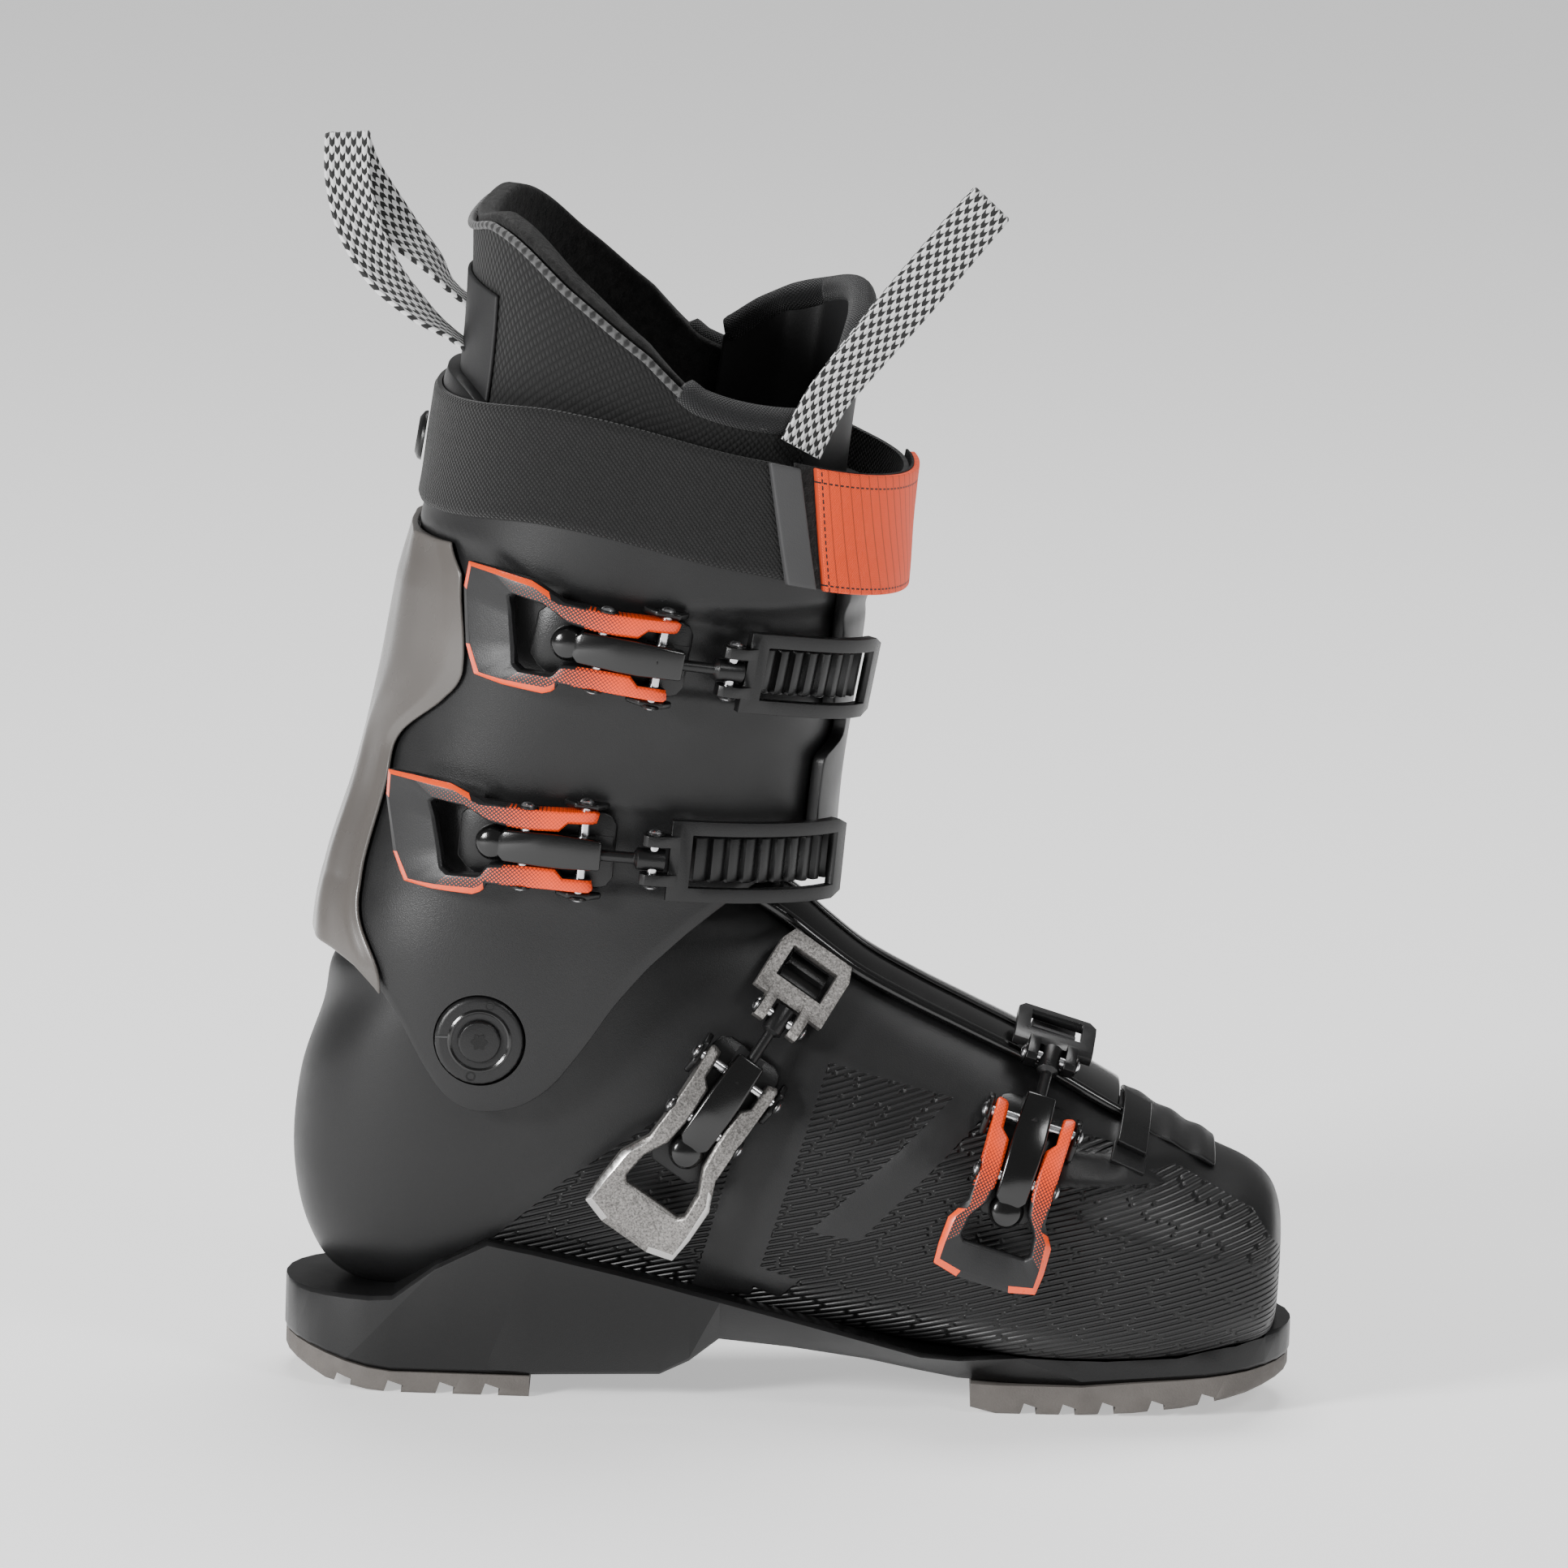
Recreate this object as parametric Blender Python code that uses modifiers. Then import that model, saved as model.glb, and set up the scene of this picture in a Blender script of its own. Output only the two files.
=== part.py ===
"""Alpine ski boot, right foot: a four-buckle overlap shell with a hinged cuff, liner, strap and rubber soles.

Millimetres in the tables, metres in the scene. +X is the toe, -Y the outer (buckle) side, +Z up. The origin is
on the ground, at the middle of the sole. The cuff turns about a line along Y through the ankle pivot.
"""

import math

import bmesh
import bpy
import numpy as np
from mathutils import Matrix, Vector
from mathutils.bvhtree import BVHTree

MM = 0.001
GAP = 0.4

# Driving dimensions, in millimetres.
PIVOT_X, PIVOT_Z = -98.0, 116.0
SHELL_WALL = 4.2
CUFF_WALL = 4.0
LINER_WALL = 6.0
SHELL_ROUND = 30
LUG_HALF = 34.0
HEEL_LUG_X = -123.0
TOE_LUG_X = 121.0
HEEL_LEDGE = 30.0
TOE_LEDGE = 26.0
DISC_R = 13.8
SCREW_R = 6.6
STRAP_THICK = 2.2

# Lower shell stations: top point, bottom point, half width, sideways shift, roundness above and below.
SHELL_STATIONS = [
    ((150.6, 53), (150.0, 34), 15, 3.5, 2.2, 2.4),
    ((150.2, 60), (149.2, 25), 27, 3.5, 2.3, 2.6),
    ((147.0, 67.5), (146.0, 20.5), 36, 3.2, 2.3, 3.0),
    ((139.7, 73.5), (137, 18), 42, 2.6, 2.3, 3.2),
    ((127, 79.5), (119, 16.5), 47, 1.6, 2.2, 4.0),
    ((111, 88), (97, 16), 50.5, 0.4, 2.2, 4.4),
    ((93, 98), (72, 16.5), 52, -0.6, 2.2, 4.6),
    ((72, 110), (46, 19), 51, -1.0, 2.2, 4.4),
    ((52, 119.5), (18, 22), 48.5, -0.8, 2.2, 4.0),
    ((34, 128), (-12, 24.5), 46, -0.4, 2.2, 3.5),
    ((18, 136.5), (-44, 26), 43.5, 0, 2.2, 2.8),
    ((6, 145.5), (-78, 26), 41.5, 0, 2.2, 2.6),
    ((-3, 153), (-112, 26.5), 40.5, 0, 2.2, 2.4),
    ((-12, 159), (-138, 31), 41, 0, 2.2, 2.3),
    ((-22, 164), (-150, 45), 42, 0, 2.2, 2.25),
    ((-31, 167), (-155.4, 68), 43, 0, 2.2, 2.2),
    ((-39, 169), (-154.0, 94), 43.5, 0, 2.2, 2.2),
    ((-46, 170), (-147.5, 116), 43.5, 0, 2.2, 2.2),
    ((-51, 171), (-145.0, 130), 43, 0, 2.2, 2.2),
    ((-54, 172), (-137.5, 137), 42, 0, 2.2, 2.2),
    ((-57, 173), (-133.0, 150), 41, 0, 2.2, 2.2),
]

# Cuff sections by height: height, rear x, front x, half width, roundness.
CUFF_SECTIONS = [
    (90, -146.0, 8, 53.5, 2.8),
    (115, -147.0, 8, 54.0, 2.8),
    (140, -148.6, 6, 54.5, 2.7),
    (160, -145.5, 4, 54.5, 2.5),
    (191, -136.8, 5, 55.5, 2.35),
    (221, -130.5, 8.5, 58.0, 2.25),
    (252, -125.5, 11.5, 61.0, 2.25),
    (276, -119.5, 12.5, 63.0, 2.25),
    (300, -116.5, 14.5, 64.5, 2.25),
    (322, -114.0, 17, 65.5, 2.25),
    (345, -113.0, 20, 66.0, 2.25),
    (372, -113.5, 24, 66.0, 2.25),
]

# Lower and upper edges of the cuff, as height over x, and half the angle that the spine covers, over height.
CUFF_LOWER = [(-150, 140), (-134.7, 134), (-124, 121), (-113.6, 104), (-106, 96), (-98, 93.5), (-86, 95.5),
              (-76, 102), (-66.5, 114), (-57, 128), (-47, 140), (-35, 151), (-21.7, 161), (-8, 169),
              (20, 174)]
CUFF_UPPER = [(-150, 318), (-112, 316), (-95, 303), (-70, 292), (-30, 284), (20, 281)]
SPINE_HALF = [(121, 48), (135, 48), (152, 37), (167, 33), (193, 31), (206, 31), (221, 47), (231, 51),
              (259, 44),              (268, 36)]

SHELL_BLACK = (0.022, 0.022, 0.023)
CUFF_GREY = (0.030, 0.030, 0.031)
SOLE_TAUPE = (0.115, 0.103, 0.094)
ORANGE = (0.80, 0.135, 0.03)
GUNMETAL = (0.16, 0.155, 0.15)
STEEL = (0.55, 0.55, 0.56)
FABRIC = (0.02, 0.02, 0.021)
WOVEN = (0.32, 0.32, 0.32)

for leftover in list(bpy.data.objects):
    bpy.data.objects.remove(leftover)

BOOT = bpy.data.collections.new("ski_boot")
CUTTERS = bpy.data.collections.new("cutters")
bpy.context.scene.collection.children.link(BOOT)
bpy.context.scene.collection.children.link(CUTTERS)


def make_material(name, colour, roughness, metallic=0.0):
    """One Principled material."""
    material = bpy.data.materials.new(name)
    material.use_nodes = True
    shader = material.node_tree.nodes["Principled BSDF"]
    shader.inputs["Base Color"].default_value = (*colour, 1.0)
    shader.inputs["Roughness"].default_value = roughness
    shader.inputs["Metallic"].default_value = metallic
    return material


def object_from(name, points, faces, look, collection=BOOT):
    """A mesh object from points in millimetres, with its faces turned outwards."""
    mesh = bpy.data.meshes.new(name)
    mesh.from_pydata([Vector(p) * MM for p in points], [], faces)
    edit = bmesh.new()
    edit.from_mesh(mesh)
    bmesh.ops.recalc_face_normals(edit, faces=edit.faces)
    edit.to_mesh(mesh)
    edit.free()
    made = bpy.data.objects.new(name, mesh)
    collection.objects.link(made)
    if look:
        mesh.materials.append(make_material(name, *look))
    if collection is CUTTERS:
        made.hide_render = True
        made.display_type = "WIRE"
    return made


def loft(name, rings, look, collection=BOOT, closed_rings=True, capped=True, closed_path=False):
    """Quads between rings of equal length, with flat caps on the first and the last one."""
    count = len(rings[0])
    points = [p for ring in rings for p in ring]
    faces = []
    last = len(rings) if closed_path else len(rings) - 1
    around = count if closed_rings else count - 1
    for i in range(last):
        j = (i + 1) % len(rings)
        for k in range(around):
            m = (k + 1) % count
            faces.append((i * count + k, i * count + m, j * count + m, j * count + k))
    if capped and closed_rings and not closed_path:
        faces.append(tuple(range(count)))
        faces.append(tuple((len(rings) - 1) * count + k for k in range(count)))
    return object_from(name, points, faces, look, collection)


def shell_patch(name, surface, us, vs, low, high, look, collection=BOOT, closed=False):
    """A plate between two offsets of a surface(u, v, offset), over a grid of u and v."""
    rings = []
    for u in us:
        up = [surface(u, v, high) for v in vs]
        down = [surface(u, v, low) for v in reversed(vs)]
        rings.append(up + down)
    return loft(name, rings, look, collection, closed_path=closed)


def mix(a, b, f):
    return a + (b - a) * f


def curve_value(table, x):
    """Smooth-stepped reading of a table of (x, value) pairs."""
    xs = [row[0] for row in table]
    ys = [row[1] for row in table]
    return float(np.interp(x, xs, ys))


def power(value, exponent):
    return math.copysign(abs(value) ** exponent, value)


def steps(start, end, count):
    return [start + (end - start) * i / (count - 1) for i in range(count)]


def cut(target, cutter, operation="DIFFERENCE"):
    modifier = target.modifiers.new(operation.lower(), "BOOLEAN")
    modifier.operation = operation
    modifier.object = cutter
    modifier.solver = "EXACT"


def hide(made):
    """Turn a helper into a cutter that isn't built."""
    for owner in list(made.users_collection):
        owner.objects.unlink(made)
    CUTTERS.objects.link(made)
    made.hide_render = True
    made.display_type = "WIRE"
    return made


# ---------------------------------------------------------------- surfaces

def shell_station(t):
    """Values of the station at t, from 0 at the toe to 1 at the ankle."""
    place = max(0.0, min(1.0, t)) * (len(SHELL_STATIONS) - 1)
    i = min(int(place), len(SHELL_STATIONS) - 2)
    f = place - i
    a, b = SHELL_STATIONS[i], SHELL_STATIONS[i + 1]
    top = Vector(a[0]).lerp(Vector(b[0]), f)
    low = Vector(a[1]).lerp(Vector(b[1]), f)
    return top, low, mix(a[2], b[2], f), mix(a[3], b[3], f), mix(a[4], b[4], f), mix(a[5], b[5], f)


def shell_point(t, angle, offset=0.0):
    """Point of the lower shell: angle 0 is the instep line, -90 degrees the outer side, 180 the sole."""
    top, low, half, shift, round_top, round_low = shell_station(t)
    centre = (top + low) / 2
    reach = (top - low) / 2
    c, s = math.cos(angle), math.sin(angle)
    exponent = 2 / (round_top if c > 0 else round_low)
    along = reach.normalized()
    length = reach.length + offset
    x, z = centre + along * (power(c, exponent) * length)
    y = shift + power(s, exponent) * (half + offset)
    return (x, y, z)


def cuff_section(z):
    """Rear x, front x, half width and roundness of the cuff at a height."""
    return [curve_value([(row[0], row[k]) for row in CUFF_SECTIONS], z) for k in (1, 2, 3, 4)]


def cuff_point(angle, z, offset=0.0, front_extra=0.0):
    """Point of the cuff at a height: angle 0 is the shin, -90 degrees the outer side, 180 the back."""
    rear, front, half, roundness = cuff_section(z)
    front += front_extra
    centre = (rear + front) / 2
    reach = (front - rear) / 2 + offset
    c, s = math.cos(angle), math.sin(angle)
    exponent = 2 / roundness
    return (centre + power(c, exponent) * reach, power(s, exponent) * (half + offset), z)


# ---------------------------------------------------------------- lower body

def circle_ring(angles, t, offset):
    return [shell_point(t, a, offset) for a in angles]


def closed_angles(count, start=0.0):
    return [start + math.tau * k / count for k in range(count)]


def screw_pin(name, profile, look, collection=BOOT, segments=20):
    """A turned piece about its own Z: profile is (radius, height) in millimetres, top to bottom."""
    outline = [(r * MM, h * MM) for r, h in profile]
    mesh = bpy.data.meshes.new(name)
    mesh.from_pydata([(r, 0, h) for r, h in outline], [(i, i + 1) for i in range(len(outline) - 1)], [])
    made = bpy.data.objects.new(name, mesh)
    collection.objects.link(made)
    turn = made.modifiers.new("turn", "SCREW")
    turn.steps = turn.render_steps = segments
    turn.use_merge_vertices = True
    turn.merge_threshold = 0.00001
    turn.use_smooth_shade = False
    if look:
        mesh.materials.append(make_material(name, *look))
    if collection is CUTTERS:
        made.hide_render = True
        made.display_type = "WIRE"
    return made


def cylinder_profile(radius, low, high):
    return [(0, high), (radius, high), (radius, low), (0, low)]


def place(made, centre, axis_z, axis_x=None):
    """Stands an object with its Z on axis_z, at a centre in millimetres."""
    z = Vector(axis_z).normalized()
    x = Vector(axis_x) if axis_x else z.orthogonal()
    x = (x - z * x.dot(z)).normalized()
    y = z.cross(x)
    made.matrix_world = Matrix.Translation(Vector(centre) * MM) @ Matrix((x, y, z)).transposed().to_4x4()
    return made


def throat_cutter():
    """The slot along the instep and up to the top of the shell, which the flap covers."""
    us = steps(0.30, 1.0, 12)
    vs = steps(-math.radians(15), math.radians(15), 5)
    rings = []
    for u in us:
        rings.append([shell_point(u, v, 9) for v in vs] + [shell_point(u, v, -12) for v in reversed(vs)])
    rings.append([(x - 3, y, z + 14) for x, y, z in rings[-1]])
    return loft("throat_cutter", rings, None, CUTTERS)


def pivot_hole(name, side, radius):
    bore = screw_pin(name, cylinder_profile(radius, 30, 75), None, CUTTERS, 28)
    return place(bore, (PIVOT_X, 0, PIVOT_Z), (0, side, 0))


SIDES = {"outer": -1, "inner": 1}


def build_lower_shell():
    angles = closed_angles(SHELL_ROUND)
    outside = [circle_ring(angles, i / 20, 0) for i in range(21)]
    inside = [circle_ring(angles, t, -SHELL_WALL) for t in steps(1, 0.13, 19)]
    shell = loft("lower_shell", outside + inside, (SHELL_BLACK, 0.42))
    cut(shell, throat_cutter())
    for side, sign in SIDES.items():
        cut(shell, pivot_hole("shell_bore_" + side, sign, 3.5))
    return shell


def shell_envelope(name, offset):
    angles = closed_angles(SHELL_ROUND)
    return loft(name, [circle_ring(angles, i / 20, offset) for i in range(21)], None, CUTTERS)


# Chassis profile: x, half width, lowest z, highest z.
CHASSIS_MIDDLE = [
    (-123, 34, 7.0, 30.5), (-110, 36, 7.0, 41), (-94, 40, 7.0, 50), (-80, 42, 7.0, 48), (-54, 44, 8.0, 43),
    (-40, 45, 8.5, 40), (-31, 46, 13, 38), (-22, 46.5, 20.3, 36), (0, 47.5, 18.5, 31), (24, 49, 15.5, 25.5),
    (40, 49, 12.5, 21.5), (52, 46, 10.5, 20), (70, 40, 9.5, 20), (90, 35.5, 9.5, 21), (121, 34.5, 12.5, 24.5),
]


def chassis_section(x, half, low, high):
    """Eight points: a block that is narrower at the ground than at its upper edge."""
    foot = min(half, LUG_HALF)
    bevel = 1.2
    return [(x, -foot + bevel, low), (x, -foot, low + bevel), (x, -half, high - bevel),
            (x, -half + bevel, high), (x, half - bevel, high), (x, half, high - bevel),
            (x, foot, low + bevel), (x, foot - bevel, low)]


def end_stations(centre_x, reach, half, low_at, high_at, count, sign):
    """Stations of a rounded end, closer together at its tip."""
    stations = []
    for i in range(count):
        angle = math.radians(86) * (i + 1) / count
        x = centre_x + sign * reach * math.sin(angle)
        stations.append((x, half * math.cos(angle) ** 0.85, low_at(x), high_at(x)))
    return stations


def heel_low(x):
    return curve_value([(-157, 14.5), (-150, 12.8), (-133, 8.2), (-123, 7.0)], x)


def toe_low(x):
    return curve_value([(121, 12.5), (140, 14.6), (155, 17)], x)


def toe_high(x):
    return curve_value([(121, 24.5), (132, TOE_LEDGE), (155, TOE_LEDGE)], x)


def build_chassis():
    heel = end_stations(HEEL_LUG_X, 33.8, LUG_HALF, heel_low, lambda x: HEEL_LEDGE, 7, -1)
    toe = end_stations(TOE_LUG_X, 33.8, 34.5, toe_low, toe_high, 7, 1)
    rings = [chassis_section(*row) for row in list(reversed(heel)) + CHASSIS_MIDDLE + toe]
    chassis = loft("sole_chassis", rings, (SHELL_BLACK, 0.34))
    cut(chassis, shell_envelope("chassis_relief", GAP))
    return chassis


def tread_points(x, half, low, high):
    return [(x, -half + 1, low), (x, -half, low + 1), (x, -half, high), (x, half, high), (x, half, low + 1),
            (x, half - 1, low)]


def build_heel_sole():
    """Rubber heel tread: rounded at the back, with cross notches that open at the sides."""
    back = end_stations(HEEL_LUG_X, 33.3, 33.5, lambda x: curve_value([(-157, 8.5), (-143, 2.6), (-130, 0.5),
                        (-123, 0)], x), lambda x: heel_low(x) - GAP, 7, -1)
    front = [(-123, 33.5, 0, 6.6), (-100, 33.5, 0, 6.6), (-80, 33.5, 0, 6.6)]
    rings = [tread_points(*row) for row in list(reversed(back)) + front]
    sole = loft("heel_sole", rings, (SOLE_TAUPE, 0.75))
    for i, x in enumerate((-138, -122, -106, -92)):
        notch(sole, f"heel_notch_{i}", x, 5.0, 3.2 if i else 4.2)
    return sole


def notch(target, name, x, width, depth):
    """A groove across the tread, cut upwards from the ground."""
    bpy.ops.mesh.primitive_cube_add(size=1, location=(x * MM, 0, (depth / 2 - 1) * MM))
    groove = hide(bpy.context.object)
    groove.name = name
    groove.scale = (width * MM, 90 * MM, (depth + 2) * MM)
    groove.rotation_euler = (0, math.radians(18), 0)
    cut(target, groove)


def build_toe_sole():
    """Rubber forefoot tread, rockered up towards the toe."""
    front = end_stations(TOE_LUG_X, 33.3, 33.9, lambda x: curve_value([(121, 3.2), (140, 7.2), (155, 12)], x),
                         lambda x: toe_low(x) - GAP, 7, 1)
    rear = [(56, 36, 2.0, 9.5), (64, 35.5, 0, 9.1), (78, 35, 0, 9.1), (90, 34.8, 0.2, 9.1),
            (106, 34.4, 1.2, 10.8),            (121, 33.9, 3.2, 12.1)]
    rings = [tread_points(*row) for row in rear + front]
    sole = loft("toe_sole", rings, (SOLE_TAUPE, 0.75))
    for i, (x, depth) in enumerate(((74, 3), (86, 3), (98, 4), (113, 5), (128, 7.5))):
        notch(sole, f"toe_notch_{i}", x, 4.5, depth)
    return sole


def build_boot_board():
    """The ramp under the liner: a thin floor that follows the inside of the shell."""
    us = steps(0.24, 0.56, 8)
    vs = steps(math.radians(140), math.radians(220), 7)
    low = -SHELL_WALL - 2.7
    high = -SHELL_WALL - 2 * GAP
    return shell_patch("boot_board", shell_point, us, vs, low, high, ((0.05, 0.05, 0.055), 0.7))


def build_instep_flap():
    us = steps(0.285, 0.765, 13)
    vs = steps(-math.radians(21), math.radians(27), 8)
    return shell_patch("instep_flap", shell_point, us, vs, GAP, 3.2, (SHELL_BLACK, 0.16))


def build_toe_gusset():
    """The soft folded seal between the front of the flap and the toe box."""
    us = steps(0.195, 0.278, 4)
    vs = steps(-math.radians(20), math.radians(20), 6)
    return shell_patch("toe_gusset", shell_point, us, vs, GAP, 2.6, (SHELL_BLACK, 0.5))


# ---------------------------------------------------------------- cuff and what it carries

SPINE_GAP = 1.3
CUFF_START, CUFF_END = math.radians(20), math.radians(-386)
OVERLAP_FROM, OVERLAP_TO = math.radians(-250), math.radians(-322)


def overlap_step(angle):
    """How far the inner-side flap stands out, where it passes over the outer-side one."""
    f = (angle - OVERLAP_FROM) / (OVERLAP_TO - OVERLAP_FROM)
    f = max(0.0, min(1.0, f))
    return (CUFF_WALL + 1.0) * f * f * (3 - 2 * f)


def edge_height(table, angle):
    z = 150.0
    for _ in range(4):
        z = curve_value(table, cuff_point(angle, z)[0])
    return z


def cuff_wall_point(angle, f, offset):
    """Point of the cuff wall: f goes from its lower edge to its upper edge."""
    low, high = edge_height(CUFF_LOWER, angle), edge_height(CUFF_UPPER, angle)
    return cuff_point(angle, mix(low, high, f), offset + overlap_step(angle))


def build_cuff():
    us = steps(CUFF_START, CUFF_END, 49)
    vs = steps(0, 1, 9)
    cuff = shell_patch("cuff", cuff_wall_point, us, vs, -CUFF_WALL, 0, (CUFF_GREY, 0.45))
    for side, sign in SIDES.items():
        cut(cuff, pivot_hole("cuff_bore_" + side, sign, DISC_R + GAP))
    return cuff


def build_spine():
    """The stiffener up the back of the cuff, waisted in the middle, on top of the cuff wall."""
    def point(f, side, offset):
        z = 268.0
        angle = math.pi
        for _ in range(5):
            low = edge_height(CUFF_LOWER, angle) + 1.5
            z = mix(268, low, f)
            angle = math.pi + side * math.radians(curve_value(SPINE_HALF, z))
        return cuff_point(angle, z, offset)
    us, vs = steps(0, 1, 12), steps(1, -1, 9)
    return shell_patch("cuff_spine", point, us, vs, SPINE_GAP, SPINE_GAP + 2.2, (SOLE_TAUPE, 0.32))


def build_pivots():
    """On each side, a disc that turns with the cuff and the screw through it, which stays with the shell."""
    disc_profile = [(3.6, 53.6), (DISC_R - 1, 53.6), (DISC_R, 52.6), (DISC_R, 47.2), (3.6, 47.2), (3.6, 53.6)]
    screw_profile = [(0, 55.4), (SCREW_R - 0.6, 55.4), (SCREW_R, 54.8), (SCREW_R, 54.0), (3.2, 54.0),
                     (3.2, 36), (0, 36)]
    for side, sign in SIDES.items():
        disc = screw_pin(f"pivot_disc_{side}", disc_profile, (SHELL_BLACK, 0.35), segments=28)
        place(disc, (PIVOT_X, 0, PIVOT_Z), (0, sign, 0))
        screw = screw_pin(f"pivot_screw_{side}", screw_profile, (CUFF_GREY, 0.4), segments=20)
        place(screw, (PIVOT_X, 0, PIVOT_Z), (0, sign, 0))


def strap_point(angle, f, offset):
    """Point of the power strap: a band that drops towards the shin and stands off it at the front."""
    z_mid = 293.5
    for _ in range(3):
        x = cuff_point(angle, z_mid)[0]
        drop = curve_value([(-116, 0), (-77, 1.5), (-20, -11.5), (25, -24.5)], x)
        z_mid = 293.8 + drop
    z = z_mid + mix(-17.6, 17.6, f)
    front = max(0.0, math.cos(angle))
    lift = overlap_step(angle if angle < 0 else angle - math.tau)
    return cuff_point(angle, z, offset + 1.3 + max(lift, 6.0 * front), 5.0 * front ** 2)


def build_power_strap():
    us = steps(0, -math.tau * 39 / 40, 40)
    vs = steps(0, 1, 4)
    return shell_patch("power_strap", strap_point, us, vs, 0.0, STRAP_THICK, (FABRIC, 0.9), closed=True)


def build_strap_tab():
    us = steps(math.radians(-57), math.radians(12), 14)
    tab = shell_patch("power_strap_tab", strap_point, us, steps(-0.03, 1.03, 4), STRAP_THICK + GAP,
                      STRAP_THICK + GAP + 2.4, (ORANGE, 0.85))
    return tab


def build_strap_rivet():
    """The oval button that holds the strap to the back of the cuff."""
    rear = strap_point(math.pi, 0.5, 0)
    profile = [(0, 2.8), (5.4, 2.8), (7.4, 1.6), (7.8, 0.4), (0, 0.4)]
    button = screw_pin("strap_rivet", profile, (SHELL_BLACK, 0.3))
    place(button, (rear[0] - STRAP_THICK, 0, rear[2]), (-1, 0, 0.14))


# Liner rim height over x, for the wall and for the tongue.
RIM = [(-116, 363), (-104, 367), (-80, 351), (-54, 333), (-36, 318), (-8, 311), (20, 309)]


def liner_point(angle, f, offset):
    z = 340.0
    for _ in range(5):
        x = cuff_point(angle, z)[0]
        z = mix(186.0, curve_value(RIM, x), f)
    return cuff_point(angle, z, offset - CUFF_WALL - 1.0)


def build_liner_cuff():
    us = steps(math.radians(-42), math.radians(-318), 27)
    return shell_patch("liner_cuff", liner_point, us, steps(0, 1, 8), -LINER_WALL, 0, (FABRIC, 0.9))


def build_liner_foot():
    """The bootie inside the shell: closed at the toe, open at the ankle, standing on the boot board."""
    angles = closed_angles(24)

    def ring(t, offset):
        return [shell_point(t, a, offset) for a in angles]
    outside = [ring(t, -SHELL_WALL - 3.6) for t in steps(0.17, 0.985, 15)]
    inside = [ring(t, -SHELL_WALL - 3.6 - LINER_WALL) for t in steps(0.985, 0.23, 13)]
    return loft("liner_foot", outside + inside, (FABRIC, 0.9))


def tongue_point(angle, f, offset):
    z = mix(196.0, curve_value([(-40, 330), (0, 336), (20, 341)], cuff_point(angle, 330)[0]), f)
    return cuff_point(angle, z, offset - CUFF_WALL - 1.0)


def build_tongue():
    us = steps(math.radians(-37.5), math.radians(37.5), 11)
    return shell_patch("liner_tongue", tongue_point, us, steps(0, 1, 8), -5.0, 0, (FABRIC, 0.85))


def ribbon(name, stations, width, thickness, look):
    """A woven band through (place, direction of its width) pairs."""
    points = [Vector(place) for place, _ in stations]
    rings = []
    for i, here in enumerate(points):
        ahead = (points[min(i + 1, len(points) - 1)] - points[max(i - 1, 0)]).normalized()
        across = Vector(stations[i][1])
        across = (across - ahead * across.dot(ahead)).normalized() * (width / 2)
        up = across.cross(ahead).normalized() * (thickness / 2)
        rings.append([here - across - up, here + across - up, here + across + up, here - across + up])
    return loft(name, rings, look)


def build_pull_loops():
    """Webbing loops at the heel and on the tongue, each folded once at its top."""
    heel = [((-114.4, -7, 327), (0.1, 1, 0)), ((-124, -7.5, 334), (0.35, 0.9, 0.2)),
            ((-135, -7, 345), (0.7, 0.65, 0.3)), ((-143, -5.5, 359), (0.92, 0.3, 0.25)),
            ((-146.8, -3.6, 373), (1, 0.05, 0.15)), ((-147.3, -2.3, 383), (1, 0, 0.1)),
            ((-147.3, 0, 386.3), (1, 0, 0.1)), ((-147, 2.3, 383), (1, 0, 0.1)),
            ((-142.5, 4.5, 372), (0.95, 0.15, 0.2)), ((-132, 6.5, 358), (0.75, 0.6, 0.3)),
            ((-121, 7.5, 347), (0.35, 0.9, 0.2)), ((-114.7, 8, 339), (0.1, 1, 0))]
    ribbon("heel_pull_loop", heel, 14, 1.7, (WOVEN, 0.8))
    lean = (0.68, 0.3, -0.66)
    flat = (0.74, 0, -0.67)
    tongue = [((1.5, -47, 317), lean), ((12, -43, 330), lean), ((28, -36, 349), flat), ((42, -30, 366), flat),
              ((48.6, -27.5, 374), flat), ((49.4, -25, 375), flat), ((48.2, -22.5, 373.5), flat),
              ((41, -23, 365), flat), ((27, -28, 348), flat), ((16, -33.5, 335), lean)]
    ribbon("tongue_pull_loop", tongue, 14.5, 1.5, (WOVEN, 0.8))


# ---------------------------------------------------------------- buckles

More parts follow.
